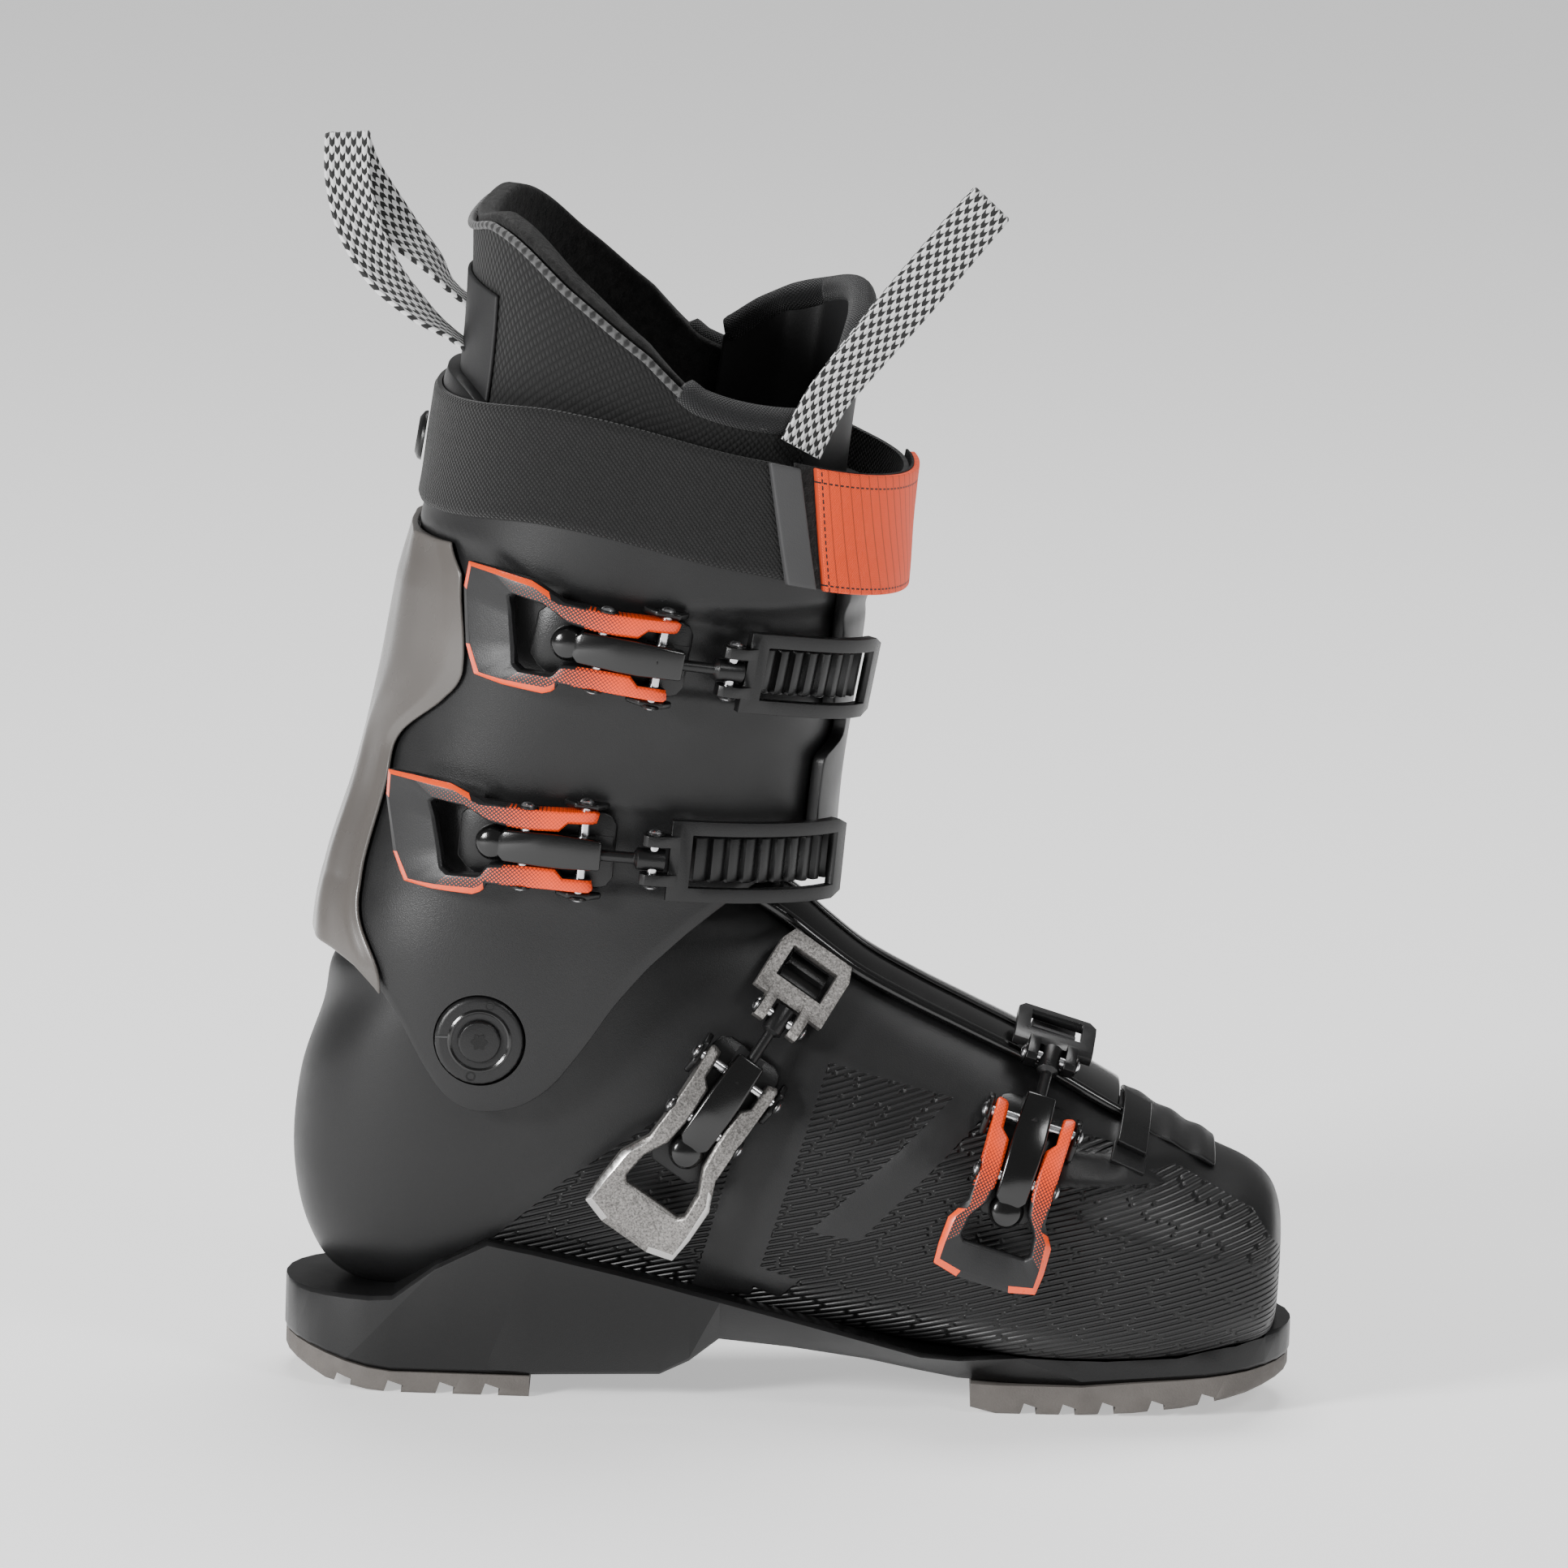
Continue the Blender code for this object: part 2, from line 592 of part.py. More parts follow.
class WrapPath:
    """A smooth line round the boot in one plane, read by its length from the lever pin."""

    STEP = math.radians(3)

    def __init__(self, hosts, centre, outward, forward, pin_angle, span):
        self.centre = Vector(centre)
        self.outward = Vector(outward).normalized()
        self.forward = Vector(forward).normalized()
        self.width_dir = self.forward.cross(self.outward).normalized()
        bpy.context.view_layer.update()
        graph = bpy.context.evaluated_depsgraph_get()
        self.trees = [BVHTree.FromObject(host, graph) for host in hosts]
        self.start = pin_angle + span[0]
        count = int((span[1] - span[0]) / self.STEP) + 1
        angles = [self.start + self.STEP * i for i in range(count)]
        radii = [max(self.radius(a, w) for w in (-9, 0, 9)) for a in angles]
        wide = [max(radii[max(0, i - 3):i + 4]) for i in range(count)]
        smooth = [sum(wide[max(0, i - 3):i + 4]) / len(wide[max(0, i - 3):i + 4]) for i in range(count)]
        smooth = [sum(smooth[max(0, i - 2):i + 3]) / len(smooth[max(0, i - 2):i + 3]) for i in range(count)]
        self.points = [self.centre + self.ray(a) * r for a, r in zip(angles, smooth)]
        lengths = [0.0]
        for a, b in zip(self.points, self.points[1:]):
            lengths.append(lengths[-1] + (b - a).length)
        pin_length = float(np.interp(pin_angle, angles, lengths))
        self.lengths = [length - pin_length for length in lengths]

    def ray(self, angle):
        return self.outward * math.cos(angle) + self.forward * math.sin(angle)

    def radius(self, angle, across):
        direction = self.ray(angle)
        start = (self.centre + direction * 200 + self.width_dir * across) * MM
        found = [tree.ray_cast(start, -direction) for tree in self.trees]
        reach = [200 - hit[3] / MM for hit in found if hit[0] is not None]
        return max(reach) if reach else 0.0

    def surface(self, length):
        return Vector([float(np.interp(length, self.lengths, [p[k] for p in self.points])) for k in range(3)])

    def frame(self, length):
        tangent = (self.surface(length + 2.5) - self.surface(length - 2.5)).normalized()
        normal = self.width_dir.cross(tangent).normalized()
        if normal.dot(self.surface(length) - self.centre) < 0:
            normal = -normal
        return self.surface(length), tangent, normal

    def point(self, length, height, across=0.0):
        place, _, normal = self.frame(length)
        return place + normal * height + self.width_dir * across


def strip(name, path, rows, look=None, collection=BOOT, across=0.0):
    """A bar along a wrap path: rows are (length, half width, lowest, highest)."""
    rings = []
    for length, half, low, high in rows:
        rings.append([path.point(length, low, across - half), path.point(length, low, across + half),
                      path.point(length, high, across + half), path.point(length, high, across - half)])
    return loft(name, rings, look, collection)


def evened(rows, most):
    """The rows with more between them, so that a strip bends with its path."""
    out = [rows[0]]
    for a, b in zip(rows, rows[1:]):
        count = max(1, round(abs(b[0] - a[0]) / most))
        out += [tuple(mix(p, q, i / count) for p, q in zip(a, b)) for i in range(1, count + 1)]
    return out


PIN_R, BORE_R, ROD_R = 1.6, 1.95, 1.75
ARM_IN, ARM_OUT = 6.2, 10.8
LADDER_LOW = 0.7
PIN_HEIGHT, LINK_PIN_AT, LINK_PIN_HEIGHT = 4.8, -17.4, 7.8
BAIL_PIN_AT, BAIL_PIN_HEIGHT = 21.0, 7.6


def cross_bore(name, path, length, height, radius, reach=40):
    bore = screw_pin(name, cylinder_profile(radius, -reach, reach), None, CUTTERS, 12)
    return place(bore, path.point(length, height), path.width_dir)


def cross_pin(name, path, length, height, half, look):
    head, neck = PIN_R + 1.2, 1.0
    pin = screw_pin(name, [(0, half + neck), (head, half + neck), (head, half), (PIN_R, half), (PIN_R, -half),
                           (head, -half), (head, -half - neck), (0, -half - neck)], look, segments=10)
    return place(pin, path.point(length, height), path.width_dir)


def bail_frame(name, path, end, look):
    """The bail: a curved plate with a window over the ladder, from its pin end to its hook bar."""
    lengths = steps(25.5, 31.5, 3) + steps(31.5, end - 4.5, round((end - 36) / 5) + 1)[1:] + [end]
    lines = (-12.5, -8.2, 8.2, 12.5)
    points, faces = [], []
    for length in lengths:
        height = 6.4 if length < 30 else 5.9
        narrow = 0.84 if length == end else 1.0
        points += [path.point(length, height, across * narrow) for across in lines]
    for i in range(len(lengths) - 1):
        for k in range(3):
            if k != 1 or lengths[i] < 31 or lengths[i] > end - 5:
                faces.append((i * 4 + k, i * 4 + k + 1, i * 4 + k + 5, i * 4 + k + 4))
    bail = object_from(name, points, faces, look)
    wall = bail.modifiers.new("wall", "SOLIDIFY")
    wall.thickness = 3.0 * MM
    wall.offset = 0
    return bail


def build_buckle(name, path, lever_look, metal_look, bail_look, grip_length, bail_length):
    """Nine pieces, from the grip at the rear to the toothed ladder under the end of the bail."""
    base = strip(name + "_base", path, evened([(-24, 4.6, 0.5, 2.0), (9, 4.6, 0.5, 2.0)], 6), metal_look)
    block = strip(name + "_base_block", path, [(-4.2, 4.6, 1, 6.2), (-2.2, 4.6, 1, 7.0),
                                                       (2.2, 4.6, 1, 7.0), (3.7, 4.6, 1, 5.4)], None, CUTTERS)
    cut(base, block, "UNION")
    cut(base, cross_bore(name + "_base_bore", path, 0, PIN_HEIGHT, BORE_R))

    reach = grip_length
    grip_rows = [(-27, 12.5, 4.2, 9.5), (-34, 14.5, 4.2, 9.5), (-reach + 12, 17.5, 4.2, 9),
                 (-reach + 3, 15.5, 4, 8), (-reach, 12.5, 4, 7.2)]
    lever = strip(name + "_lever", path, evened(grip_rows, 7), lever_look)
    window_rows = [(-20, 7.4, 0, 16), (-30, 8.6, 0, 16), (-reach + 16, 5.5, 0, 16)]
    window = strip(name + "_lever_window", path, evened(window_rows, 7), None, CUTTERS)
    arm_rows = [(3.9, 3.5, 6.1), (2.9, 2.0, 7.6), (0.8, 1.05, 8.6), (-3, 1.1, 9.6), (-10, 2.6, 10.2),
                (-17.4, 4.0, 10.6), (-31, 4.3, 9.4)]
    for side, sign in SIDES.items():
        middle, half = (ARM_IN + ARM_OUT) / 2 * sign, (ARM_OUT - ARM_IN) / 2
        rows = [(length, half, low, high) for length, low, high in arm_rows]
        arm = strip(f"{name}_arm_{side}", path, rows, None, CUTTERS, middle)
        cut(lever, arm, "UNION")
    cut(lever, window)
    cut(lever, cross_bore(name + "_lever_bore", path, 0, PIN_HEIGHT, BORE_R))
    cut(lever, cross_bore(name + "_lever_link_bore", path, LINK_PIN_AT, LINK_PIN_HEIGHT, BORE_R))
    cross_pin(name + "_lever_pin", path, 0, PIN_HEIGHT, ARM_OUT + GAP, (STEEL, 0.25, 1.0))
    cross_pin(name + "_link_pin", path, LINK_PIN_AT, LINK_PIN_HEIGHT, ARM_OUT + GAP, (STEEL, 0.25, 1.0))

    bail_pin = path.point(BAIL_PIN_AT, BAIL_PIN_HEIGHT)
    rod_tail = path.point(-2, 10.0)
    rod_line = (bail_pin - rod_tail).normalized()
    link_rows = [(-28, 3.4, 4.4, 9.4), (-23, 5.3, 4.6, 10.2), (-12, 5.3, 7.0, 11.0), (4.6, 4.6, 7.6, 11.9)]
    link = strip(name + "_link", path, evened(link_rows, 6), metal_look)
    cut(link, cross_bore(name + "_link_bore", path, LINK_PIN_AT, LINK_PIN_HEIGHT, BORE_R, 10))
    rod_length = (bail_pin - rod_tail).length
    bore = screw_pin(name + "_rod_bore", cylinder_profile(ROD_R + 0.35, -3.0, 20), None, CUTTERS, 12)
    cut(link, place(bore, rod_tail, rod_line))
    rod = screw_pin(name + "_rod", [(0, rod_length + 3.4), (3.4, rod_length + 3.4), (3.4, rod_length - 5),
                                    (ROD_R, rod_length - 6), (ROD_R, 0), (0, 0)], metal_look, segments=12)
    place(rod, rod_tail, rod_line)
    cut(rod, cross_bore(name + "_rod_bore_cross", path, BAIL_PIN_AT, BAIL_PIN_HEIGHT, BORE_R, 10))

    end = bail_length
    bail = bail_frame(name + "_bail", path, end, bail_look)
    for side, sign in SIDES.items():
        ear_rows = [(17.6, 1.7, 6.0, 9.6), (19, 1.7, 4.6, 10.8), (23.5, 1.7, 4.4, 10.8),
                    (29.3, 1.7, 5.4, 7.3)]
        cut(bail, strip(f"{name}_ear_{side}", path, ear_rows, None, CUTTERS, sign * 6.0), "UNION")
    cut(bail, cross_bore(name + "_ear_bore", path, BAIL_PIN_AT, BAIL_PIN_HEIGHT, BORE_R, 10))
    cross_pin(name + "_bail_pin", path, BAIL_PIN_AT, BAIL_PIN_HEIGHT, 7.7 + GAP, (STEEL, 0.25, 1.0))

    teeth = [(31, 7.0, LADDER_LOW, 1.9)]
    for k in range(int((end + 3 - 33) / 5.2)):
        foot = 33 + 5.2 * k
        teeth += [(foot, 7.0, LADDER_LOW, 1.9), (foot + 0.6, 7.0, LADDER_LOW, 3.7),
                  (foot + 2.4, 7.0, LADDER_LOW, 3.7)]
    teeth.append((teeth[-1][0] + 2.4, 7.0, LADDER_LOW, 1.6))
    strip(name + "_ladder", path, teeth, metal_look)


def build_buckles(cuff, shell, flap):
    black, orange, gun = (SHELL_BLACK, 0.3), (ORANGE, 0.45), (GUNMETAL, 0.42, 0.9)
    side = (0, -1, 0)

    def tilt(degrees):
        return (math.cos(math.radians(degrees)), 0, math.sin(math.radians(degrees)))
    path = WrapPath([cuff], (-47.6, 0, 239), side, tilt(-9.5), 0.0, (math.radians(-75), math.radians(105)))
    build_buckle("upper_buckle", path, orange, black, black, 61, 76)
    path = WrapPath([cuff], (-68.2, 0, 178), side, tilt(-4), 0.0, (math.radians(-75), math.radians(105)))
    build_buckle("lower_buckle", path, orange, black, black, 61, 84)
    path = WrapPath([shell, flap], (-14.3, 0, 112.8), side, tilt(56), math.radians(-12),
                    (math.radians(-80), math.radians(115)))
    build_buckle("instep_buckle", path, gun, black, gun, 56, 47.5)
    path = WrapPath([shell, flap], (63.6, 0, 66), side, tilt(73.8), math.radians(32),
                    (math.radians(-95), math.radians(75)))
    build_buckle("toe_buckle", path, orange, black, black, 48, 47)


def build_boot():
    shell = build_lower_shell()
    build_chassis()
    build_heel_sole()
    build_toe_sole()
    build_boot_board()
    flap = build_instep_flap()
    build_toe_gusset()
    cuff = build_cuff()
    build_spine()
    build_pivots()
    build_power_strap()
    build_strap_tab()
    build_strap_rivet()
    build_liner_cuff()
    build_liner_foot()
    build_tongue()
    build_pull_loops()
    build_buckles(cuff, shell, flap)


build_boot()
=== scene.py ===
"""Looks of the alpine ski boot: moulded shells, ribbed side, buckles, liner, strap and webbing loops."""
import math

import bmesh
import bpy
import numpy as np
from mathutils import Matrix, Vector
from mathutils.bvhtree import BVHTree


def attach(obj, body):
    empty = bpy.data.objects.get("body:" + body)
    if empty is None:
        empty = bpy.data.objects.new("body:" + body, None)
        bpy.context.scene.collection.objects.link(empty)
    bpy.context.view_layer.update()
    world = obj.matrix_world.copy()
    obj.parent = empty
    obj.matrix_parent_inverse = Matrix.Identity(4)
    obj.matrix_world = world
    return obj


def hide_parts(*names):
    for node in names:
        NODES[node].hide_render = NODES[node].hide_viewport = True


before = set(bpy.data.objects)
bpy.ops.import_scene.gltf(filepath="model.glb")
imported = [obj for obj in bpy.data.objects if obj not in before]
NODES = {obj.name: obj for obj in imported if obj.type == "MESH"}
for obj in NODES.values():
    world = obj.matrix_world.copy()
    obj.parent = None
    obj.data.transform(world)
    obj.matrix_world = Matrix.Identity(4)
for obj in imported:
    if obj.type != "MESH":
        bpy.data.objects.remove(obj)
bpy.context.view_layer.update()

MM = 0.001

# Lower shell stations: top point, bottom point, half width, sideways shift, roundness above and below (mm).
SHELL_ROWS = np.array([
    (150.6, 53, 150.0, 34, 15, 3.5, 2.2, 2.4), (150.2, 60, 149.2, 25, 27, 3.5, 2.3, 2.6),
    (147.0, 67.5, 146.0, 20.5, 36, 3.2, 2.3, 3.0), (139.7, 73.5, 137, 18, 42, 2.6, 2.3, 3.2),
    (127, 79.5, 119, 16.5, 47, 1.6, 2.2, 4.0), (111, 88, 97, 16, 50.5, 0.4, 2.2, 4.4),
    (93, 98, 72, 16.5, 52, -0.6, 2.2, 4.6), (72, 110, 46, 19, 51, -1.0, 2.2, 4.4),
    (52, 119.5, 18, 22, 48.5, -0.8, 2.2, 4.0), (34, 128, -12, 24.5, 46, -0.4, 2.2, 3.5),
    (18, 136.5, -44, 26, 43.5, 0, 2.2, 2.8), (6, 145.5, -78, 26, 41.5, 0, 2.2, 2.6),
    (-3, 153, -112, 26.5, 40.5, 0, 2.2, 2.4), (-12, 159, -138, 31, 41, 0, 2.2, 2.3),
    (-22, 164, -150, 45, 42, 0, 2.2, 2.25), (-31, 167, -155.4, 68, 43, 0, 2.2, 2.2),
    (-39, 169, -154.0, 94, 43.5, 0, 2.2, 2.2), (-46, 170, -147.5, 116, 43.5, 0, 2.2, 2.2),
    (-51, 171, -145.0, 130, 43, 0, 2.2, 2.2), (-54, 172, -137.5, 137, 42, 0, 2.2, 2.2),
    (-57, 173, -133.0, 150, 41, 0, 2.2, 2.2)])

# Cuff sections by height: height, rear x, front x, half width, roundness (mm).
CUFF_ROWS = np.array([
    (90, -146.0, 8, 53.5, 2.8), (115, -147.0, 8, 54.0, 2.8), (140, -148.6, 6, 54.5, 2.7),
    (160, -145.5, 4, 54.5, 2.5), (191, -136.8, 5, 55.5, 2.35), (221, -130.5, 8.5, 58.0, 2.25),
    (252, -125.5, 11.5, 61.0, 2.25), (276, -119.5, 12.5, 63.0, 2.25), (300, -116.5, 14.5, 64.5, 2.25),
    (322, -114.0, 17, 65.5, 2.25), (345, -113.0, 20, 66.0, 2.25), (372, -113.5, 24, 66.0, 2.25)])
CUFF_LOWER = [(-150, 140), (-134.7, 134), (-124, 121), (-113.6, 104), (-106, 96), (-98, 93.5), (-86, 95.5),
              (-76, 102), (-66.5, 114), (-57, 128), (-47, 140), (-35, 151), (-21.7, 161), (-8, 169),
              (20, 174)]
CUFF_UPPER = [(-150, 318), (-112, 316), (-95, 303), (-70, 292), (-30, 284), (20, 281)]
SPINE_HALF = [(121, 48), (135, 48), (152, 37), (167, 33), (193, 31), (206, 31), (221, 47), (231, 51),
              (259, 44), (268, 36)]
RIM = [(-116, 363), (-104, 367), (-80, 351), (-54, 333), (-36, 318), (-8, 311), (20, 309)]
COLLAR_LINE = [(-112, 268), (-96, 266), (-84, 258), (-66, 254), (-24, 252), (20, 250)]

# Outlines over X and Z on the outer side, clockwise (mm).
TOE_SADDLE = [(99, 79), (101, 102), (114, 100), (135, 80)]
BUCKLE_WEDGE = [(80, 75.5), (80, 86), (103, 83), (113, 75.5)]
RIB_PANEL = [(-95, 48), (-70, 71), (-38, 94), (-2, 110), (8, 110), (50, 100), (84, 91), (112, 82), (141, 66),
             (152, 50), (152, 5), (-95, 5)]
SMOOTH_BANDS = ([(-31, 36), (-11, 112), (9, 110), (-13, 36)], [(5, 58), (49, 102), (64, 103), (20, 56)],
                TOE_SADDLE, BUCKLE_WEDGE, [(-14, 40), (-12, 46), (2, 42), (-4, 36)])
BASE_PADS = [[(-80, 247), (-74, 253), (-38, 251), (-14, 246), (-16, 224), (-72, 231)],
             [(-102, 184), (-97, 192), (-58, 190), (-36, 187), (-38, 164), (-94, 169)]]
HEEL_LUG = [(-170, -5), (-170, 60), (-92, 60), (-150, -5)]

PIVOT = Vector((-98.0, 0, 116.0))
CUFF_WALL, SHELL_WALL = 4.0, 4.2
LINER_GAP = 1.0
RIB_PITCH, RIB_LENGTH, DOT_PITCH = 0.00175, 0.016, 0.00085      # metres, for the materials


# ------------------------------------------------------------------ small tools

def catmull(rows, place):
    """A row read smoothly between the rows of a table."""
    last = len(rows) - 1
    place = min(max(place, 0.0), last)
    i = min(int(place), last - 1)
    f = place - i
    p0, p1, p2, p3 = rows[max(i - 1, 0)], rows[i], rows[i + 1], rows[min(i + 2, last)]
    return 0.5 * (2 * p1 + (p2 - p0) * f + (2 * p0 - 5 * p1 + 4 * p2 - p3) * f * f
                  + (3 * p1 - p0 - 3 * p2 + p3) * f ** 3)


def smooth_table(table, x):
    """A (x, value) table read smoothly."""
    rows = np.array(table, float)
    place = float(np.interp(x, rows[:, 0], np.arange(len(rows))))
    return float(catmull(rows, place)[1])


def mix(a, b, f):
    """The value a share f of the way from a to b."""
    return a + (b - a) * f


def ease(low, high, x):
    """A soft step from 0 at low to 1 at high."""
    f = min(1.0, max(0.0, (x - low) / (high - low)))
    return f * f * (3 - 2 * f)


def power(value, exponent):
    """A power that keeps the sign, for rounded-square sections."""
    return math.copysign(abs(value) ** exponent, value)


def steps(start, end, count):
    """Evenly spaced numbers, both ends included."""
    return [start + (end - start) * i / (count - 1) for i in range(count)]


def edge_distance(point, outline):
    """Signed distance to a closed outline, positive inside."""
    x, z = point
    best, inside = 1e9, False
    for (x1, z1), (x2, z2) in zip(outline, outline[1:] + outline[:1]):
        dx, dz = x2 - x1, z2 - z1
        f = max(0.0, min(1.0, ((x - x1) * dx + (z - z1) * dz) / (dx * dx + dz * dz)))
        best = min(best, math.hypot(x - x1 - f * dx, z - z1 - f * dz))
        if (z1 > z) != (z2 > z) and x < dx * (z - z1) / dz + x1:
            inside = not inside
    return best if inside else -best


def seal(mesh):
    """Joins points that coincide and turns every face outwards."""
    edit = bmesh.new()
    edit.from_mesh(mesh)
    bmesh.ops.remove_doubles(edit, verts=edit.verts, dist=1e-7)
    bmesh.ops.recalc_face_normals(edit, faces=edit.faces)
    edit.to_mesh(mesh)
    edit.free()


def smooth_faces(mesh, angle):
    """Smooth shading, with edges sharper than this angle (degrees) left crisp."""
    mesh.shade_smooth()
    mesh.set_sharp_from_angle(angle=math.radians(angle))


def mesh_piece(name, points, faces, material, corners=None, angle=38):
    """A closed piece from points in millimetres; corners are UVs in millimetres too, a list for each face."""
    mesh = bpy.data.meshes.new(name)
    mesh.from_pydata([Vector(p) * MM for p in points], [], faces)
    if corners:
        layer = mesh.uv_layers.new(name="UVMap")
        layer.data.foreach_set("uv", [c * MM for face in corners for corner in face for c in corner])
    seal(mesh)
    piece = bpy.data.objects.new(name, mesh)
    bpy.context.scene.collection.objects.link(piece)
    for each in material if isinstance(material, tuple) else (material,):
        mesh.materials.append(each)
    smooth_faces(mesh, angle)
    return piece


def rings_piece(name, rings, material, corner=None, angle=38):
    """A skin over rings of points, with flat ends; corner(i, k) is the UV of point k on ring i."""
    sides, last = len(rings[0]), len(rings) - 1
    cells = [[(i, k), (i, k + 1), (i + 1, k + 1), (i + 1, k)] for i in range(last) for k in range(sides)]
    cells += [[(i, k) for k in range(sides)] for i in (0, last)]
    faces = [[i * sides + k % sides for i, k in cell] for cell in cells]
    corners = [[corner(i, k) for i, k in cell] for cell in cells] if corner else None
    return mesh_piece(name, [point for ring in rings for point in ring], faces, material, corners, angle)


def show(piece, body, slot_name, *nodes):
    """Files a finished piece: the body it rides on and the CAD nodes it stands for; slot_name is not used."""
    if nodes:
        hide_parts(*nodes)
    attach(piece, body)


def lengths_along(points):
    """Running length at each point of a line."""
    total = [0.0]
    for a, b in zip(points, points[1:]):
        total.append(total[-1] + (Vector(b) - Vector(a)).length)
    return total


def plate(name, point, us, vs, low, high, material, rounding=0.0, closed=False):
    """A wall between two offsets of a surface point(u, v, offset); its rims are rounded by a bevel."""
    grid_u, grid_v = len(us), len(vs)
    points = [point(u, v, high) for u in us for v in vs] + [point(u, v, low) for u in us for v in vs]
    base = grid_u * grid_v
    middle = grid_v // 2
    along = lengths_along([points[i * grid_v + middle] for i in range(grid_u)] + [points[middle]] * closed)
    across = lengths_along(points[:grid_v])
    faces, corners = [], []

    def add(*cells):
        faces.append(tuple(side * base + (i % grid_u) * grid_v + k for i, k, side in cells))
        corners.append([(along[i], across[k]) for i, k, side in cells])
    for i in range(grid_u if closed else grid_u - 1):
        for k in range(grid_v - 1):
            add((i, k, 0), (i, k + 1, 0), (i + 1, k + 1, 0), (i + 1, k, 0))
            add((i + 1, k, 1), (i + 1, k + 1, 1), (i, k + 1, 1), (i, k, 1))
        for k in (0, grid_v - 1):
            add((i, k, 0), (i + 1, k, 0), (i + 1, k, 1), (i, k, 1))
    if not closed:
        for i in (0, grid_u - 1):
            for k in range(grid_v - 1):
                add((i, k, 0), (i, k + 1, 0), (i, k + 1, 1), (i, k, 1))
    piece = mesh_piece(name, points, faces, material, corners=corners)
    if rounding:
        bevel_rims(piece, rounding)
    return piece


def turned(name, profile, place, axis, material, segments=32):
    """A round piece from a (radius, height) profile, turned about an axis through a place."""
    axis = Vector(axis).normalized()
    side = axis.orthogonal().normalized()
    other = axis.cross(side)
    turns = [math.tau * k / segments for k in range(segments)]
    spokes = [side * math.cos(a) + other * math.sin(a) for a in turns]
    rings = [[Vector(place) + axis * height + spoke * radius for spoke in spokes] for radius, height in profile]
    return rings_piece(name, rings, material)


def bevel_rims(piece, width, angle=40, segments=3):
    """Rounds the sharp edges of a piece and applies it."""
    bevel = piece.modifiers.new("rims", "BEVEL")
    bevel.width = width * MM
    bevel.segments = segments
    bevel.limit_method = "ANGLE"
    bevel.angle_limit = math.radians(angle)
    bevel.use_clamp_overlap = True
    apply_modifiers(piece)
    smooth_faces(piece.data, 50)


def apply_modifiers(piece):
    """Makes a piece's modifiers part of its mesh."""
    bpy.ops.object.select_all(action="DESELECT")
    bpy.context.view_layer.objects.active = piece
    piece.select_set(True)
    for modifier in list(piece.modifiers):
        bpy.ops.object.modifier_apply(modifier=modifier.name)
    piece.select_set(False)


def tube(name, path, radius, material, taper=None):
    """A round bead along points in millimetres; taper(share of the length) scales its radius."""
    curve = bpy.data.curves.new(name, "CURVE")
    curve.dimensions = "3D"
    curve.bevel_depth = radius * MM
    curve.bevel_resolution = 4
    curve.use_fill_caps = True
    spline = curve.splines.new("POLY")
    spline.points.add(len(path) - 1)
    for i, place in enumerate(path):
        spline.points[i].co = (*(Vector(place) * MM), 1)
        spline.points[i].radius = taper(i / (len(path) - 1)) if taper else 1.0
    maker = bpy.data.objects.new(name + "_curve", curve)
    bpy.context.scene.collection.objects.link(maker)
    graph = bpy.context.evaluated_depsgraph_get()
    mesh = bpy.data.meshes.new_from_object(maker.evaluated_get(graph))
    bpy.data.objects.remove(maker)
    seal(mesh)
    piece = bpy.data.objects.new(name, mesh)
    bpy.context.scene.collection.objects.link(piece)
    mesh.materials.clear()
    mesh.materials.append(material)
    smooth_faces(mesh, 45)
    return piece


# ------------------------------------------------------------------ surfaces

def shell_point(t, angle, offset=0.0):
    """Point of the lower shell: angle 0 is the instep line, -90 degrees the outer side, 180 the sole."""
    tx, tz, bx, bz, half, shift, round_top, round_low = catmull(SHELL_ROWS, t * (len(SHELL_ROWS) - 1))
    top, low = Vector((tx, 0, tz)), Vector((bx, 0, bz))
    centre, reach = (top + low) / 2, (top - low) / 2
    c, s = math.cos(angle), math.sin(angle)
    blend = ease(-0.35, 0.35, c)
    exponent = 2 / mix(round_low, round_top, blend)
    place = centre + reach.normalized() * (power(c, exponent) * (reach.length + offset))
    return Vector((place.x, shift + power(s, exponent) * (half + offset), place.z))


def cuff_point(angle, z, offset=0.0, front_extra=0.0):
    """Point of the cuff at a height: angle 0 is the shin, -90 degrees the outer side, 180 the back."""
    place = float(np.interp(z, CUFF_ROWS[:, 0], np.arange(len(CUFF_ROWS))))
    _, rear, front, half, roundness = catmull(CUFF_ROWS, place)
    front += front_extra
    c, s = math.cos(angle), math.sin(angle)
    exponent = 2 / roundness
    return Vector(((rear + front) / 2 + power(c, exponent) * ((front - rear) / 2 + offset),
                   power(s, exponent) * (half + offset), z))


OVERLAP_FROM, OVERLAP_TO = math.radians(-250), math.radians(-322)


def overlap_step(angle):
    """How far the inner-side flap stands out, where it passes over the outer-side one."""
    return (CUFF_WALL + 1.0) * ease(0, 1, (angle - OVERLAP_FROM) / (OVERLAP_TO - OVERLAP_FROM))


def edge_height(table, angle):
    """Height where a cuff edge, a table of heights by x, meets the cuff's surface at an angle."""
    z = 150.0
    for _ in range(4):
        z = smooth_table(table, cuff_point(angle, z).x)
    return z


# ------------------------------------------------------------------ materials

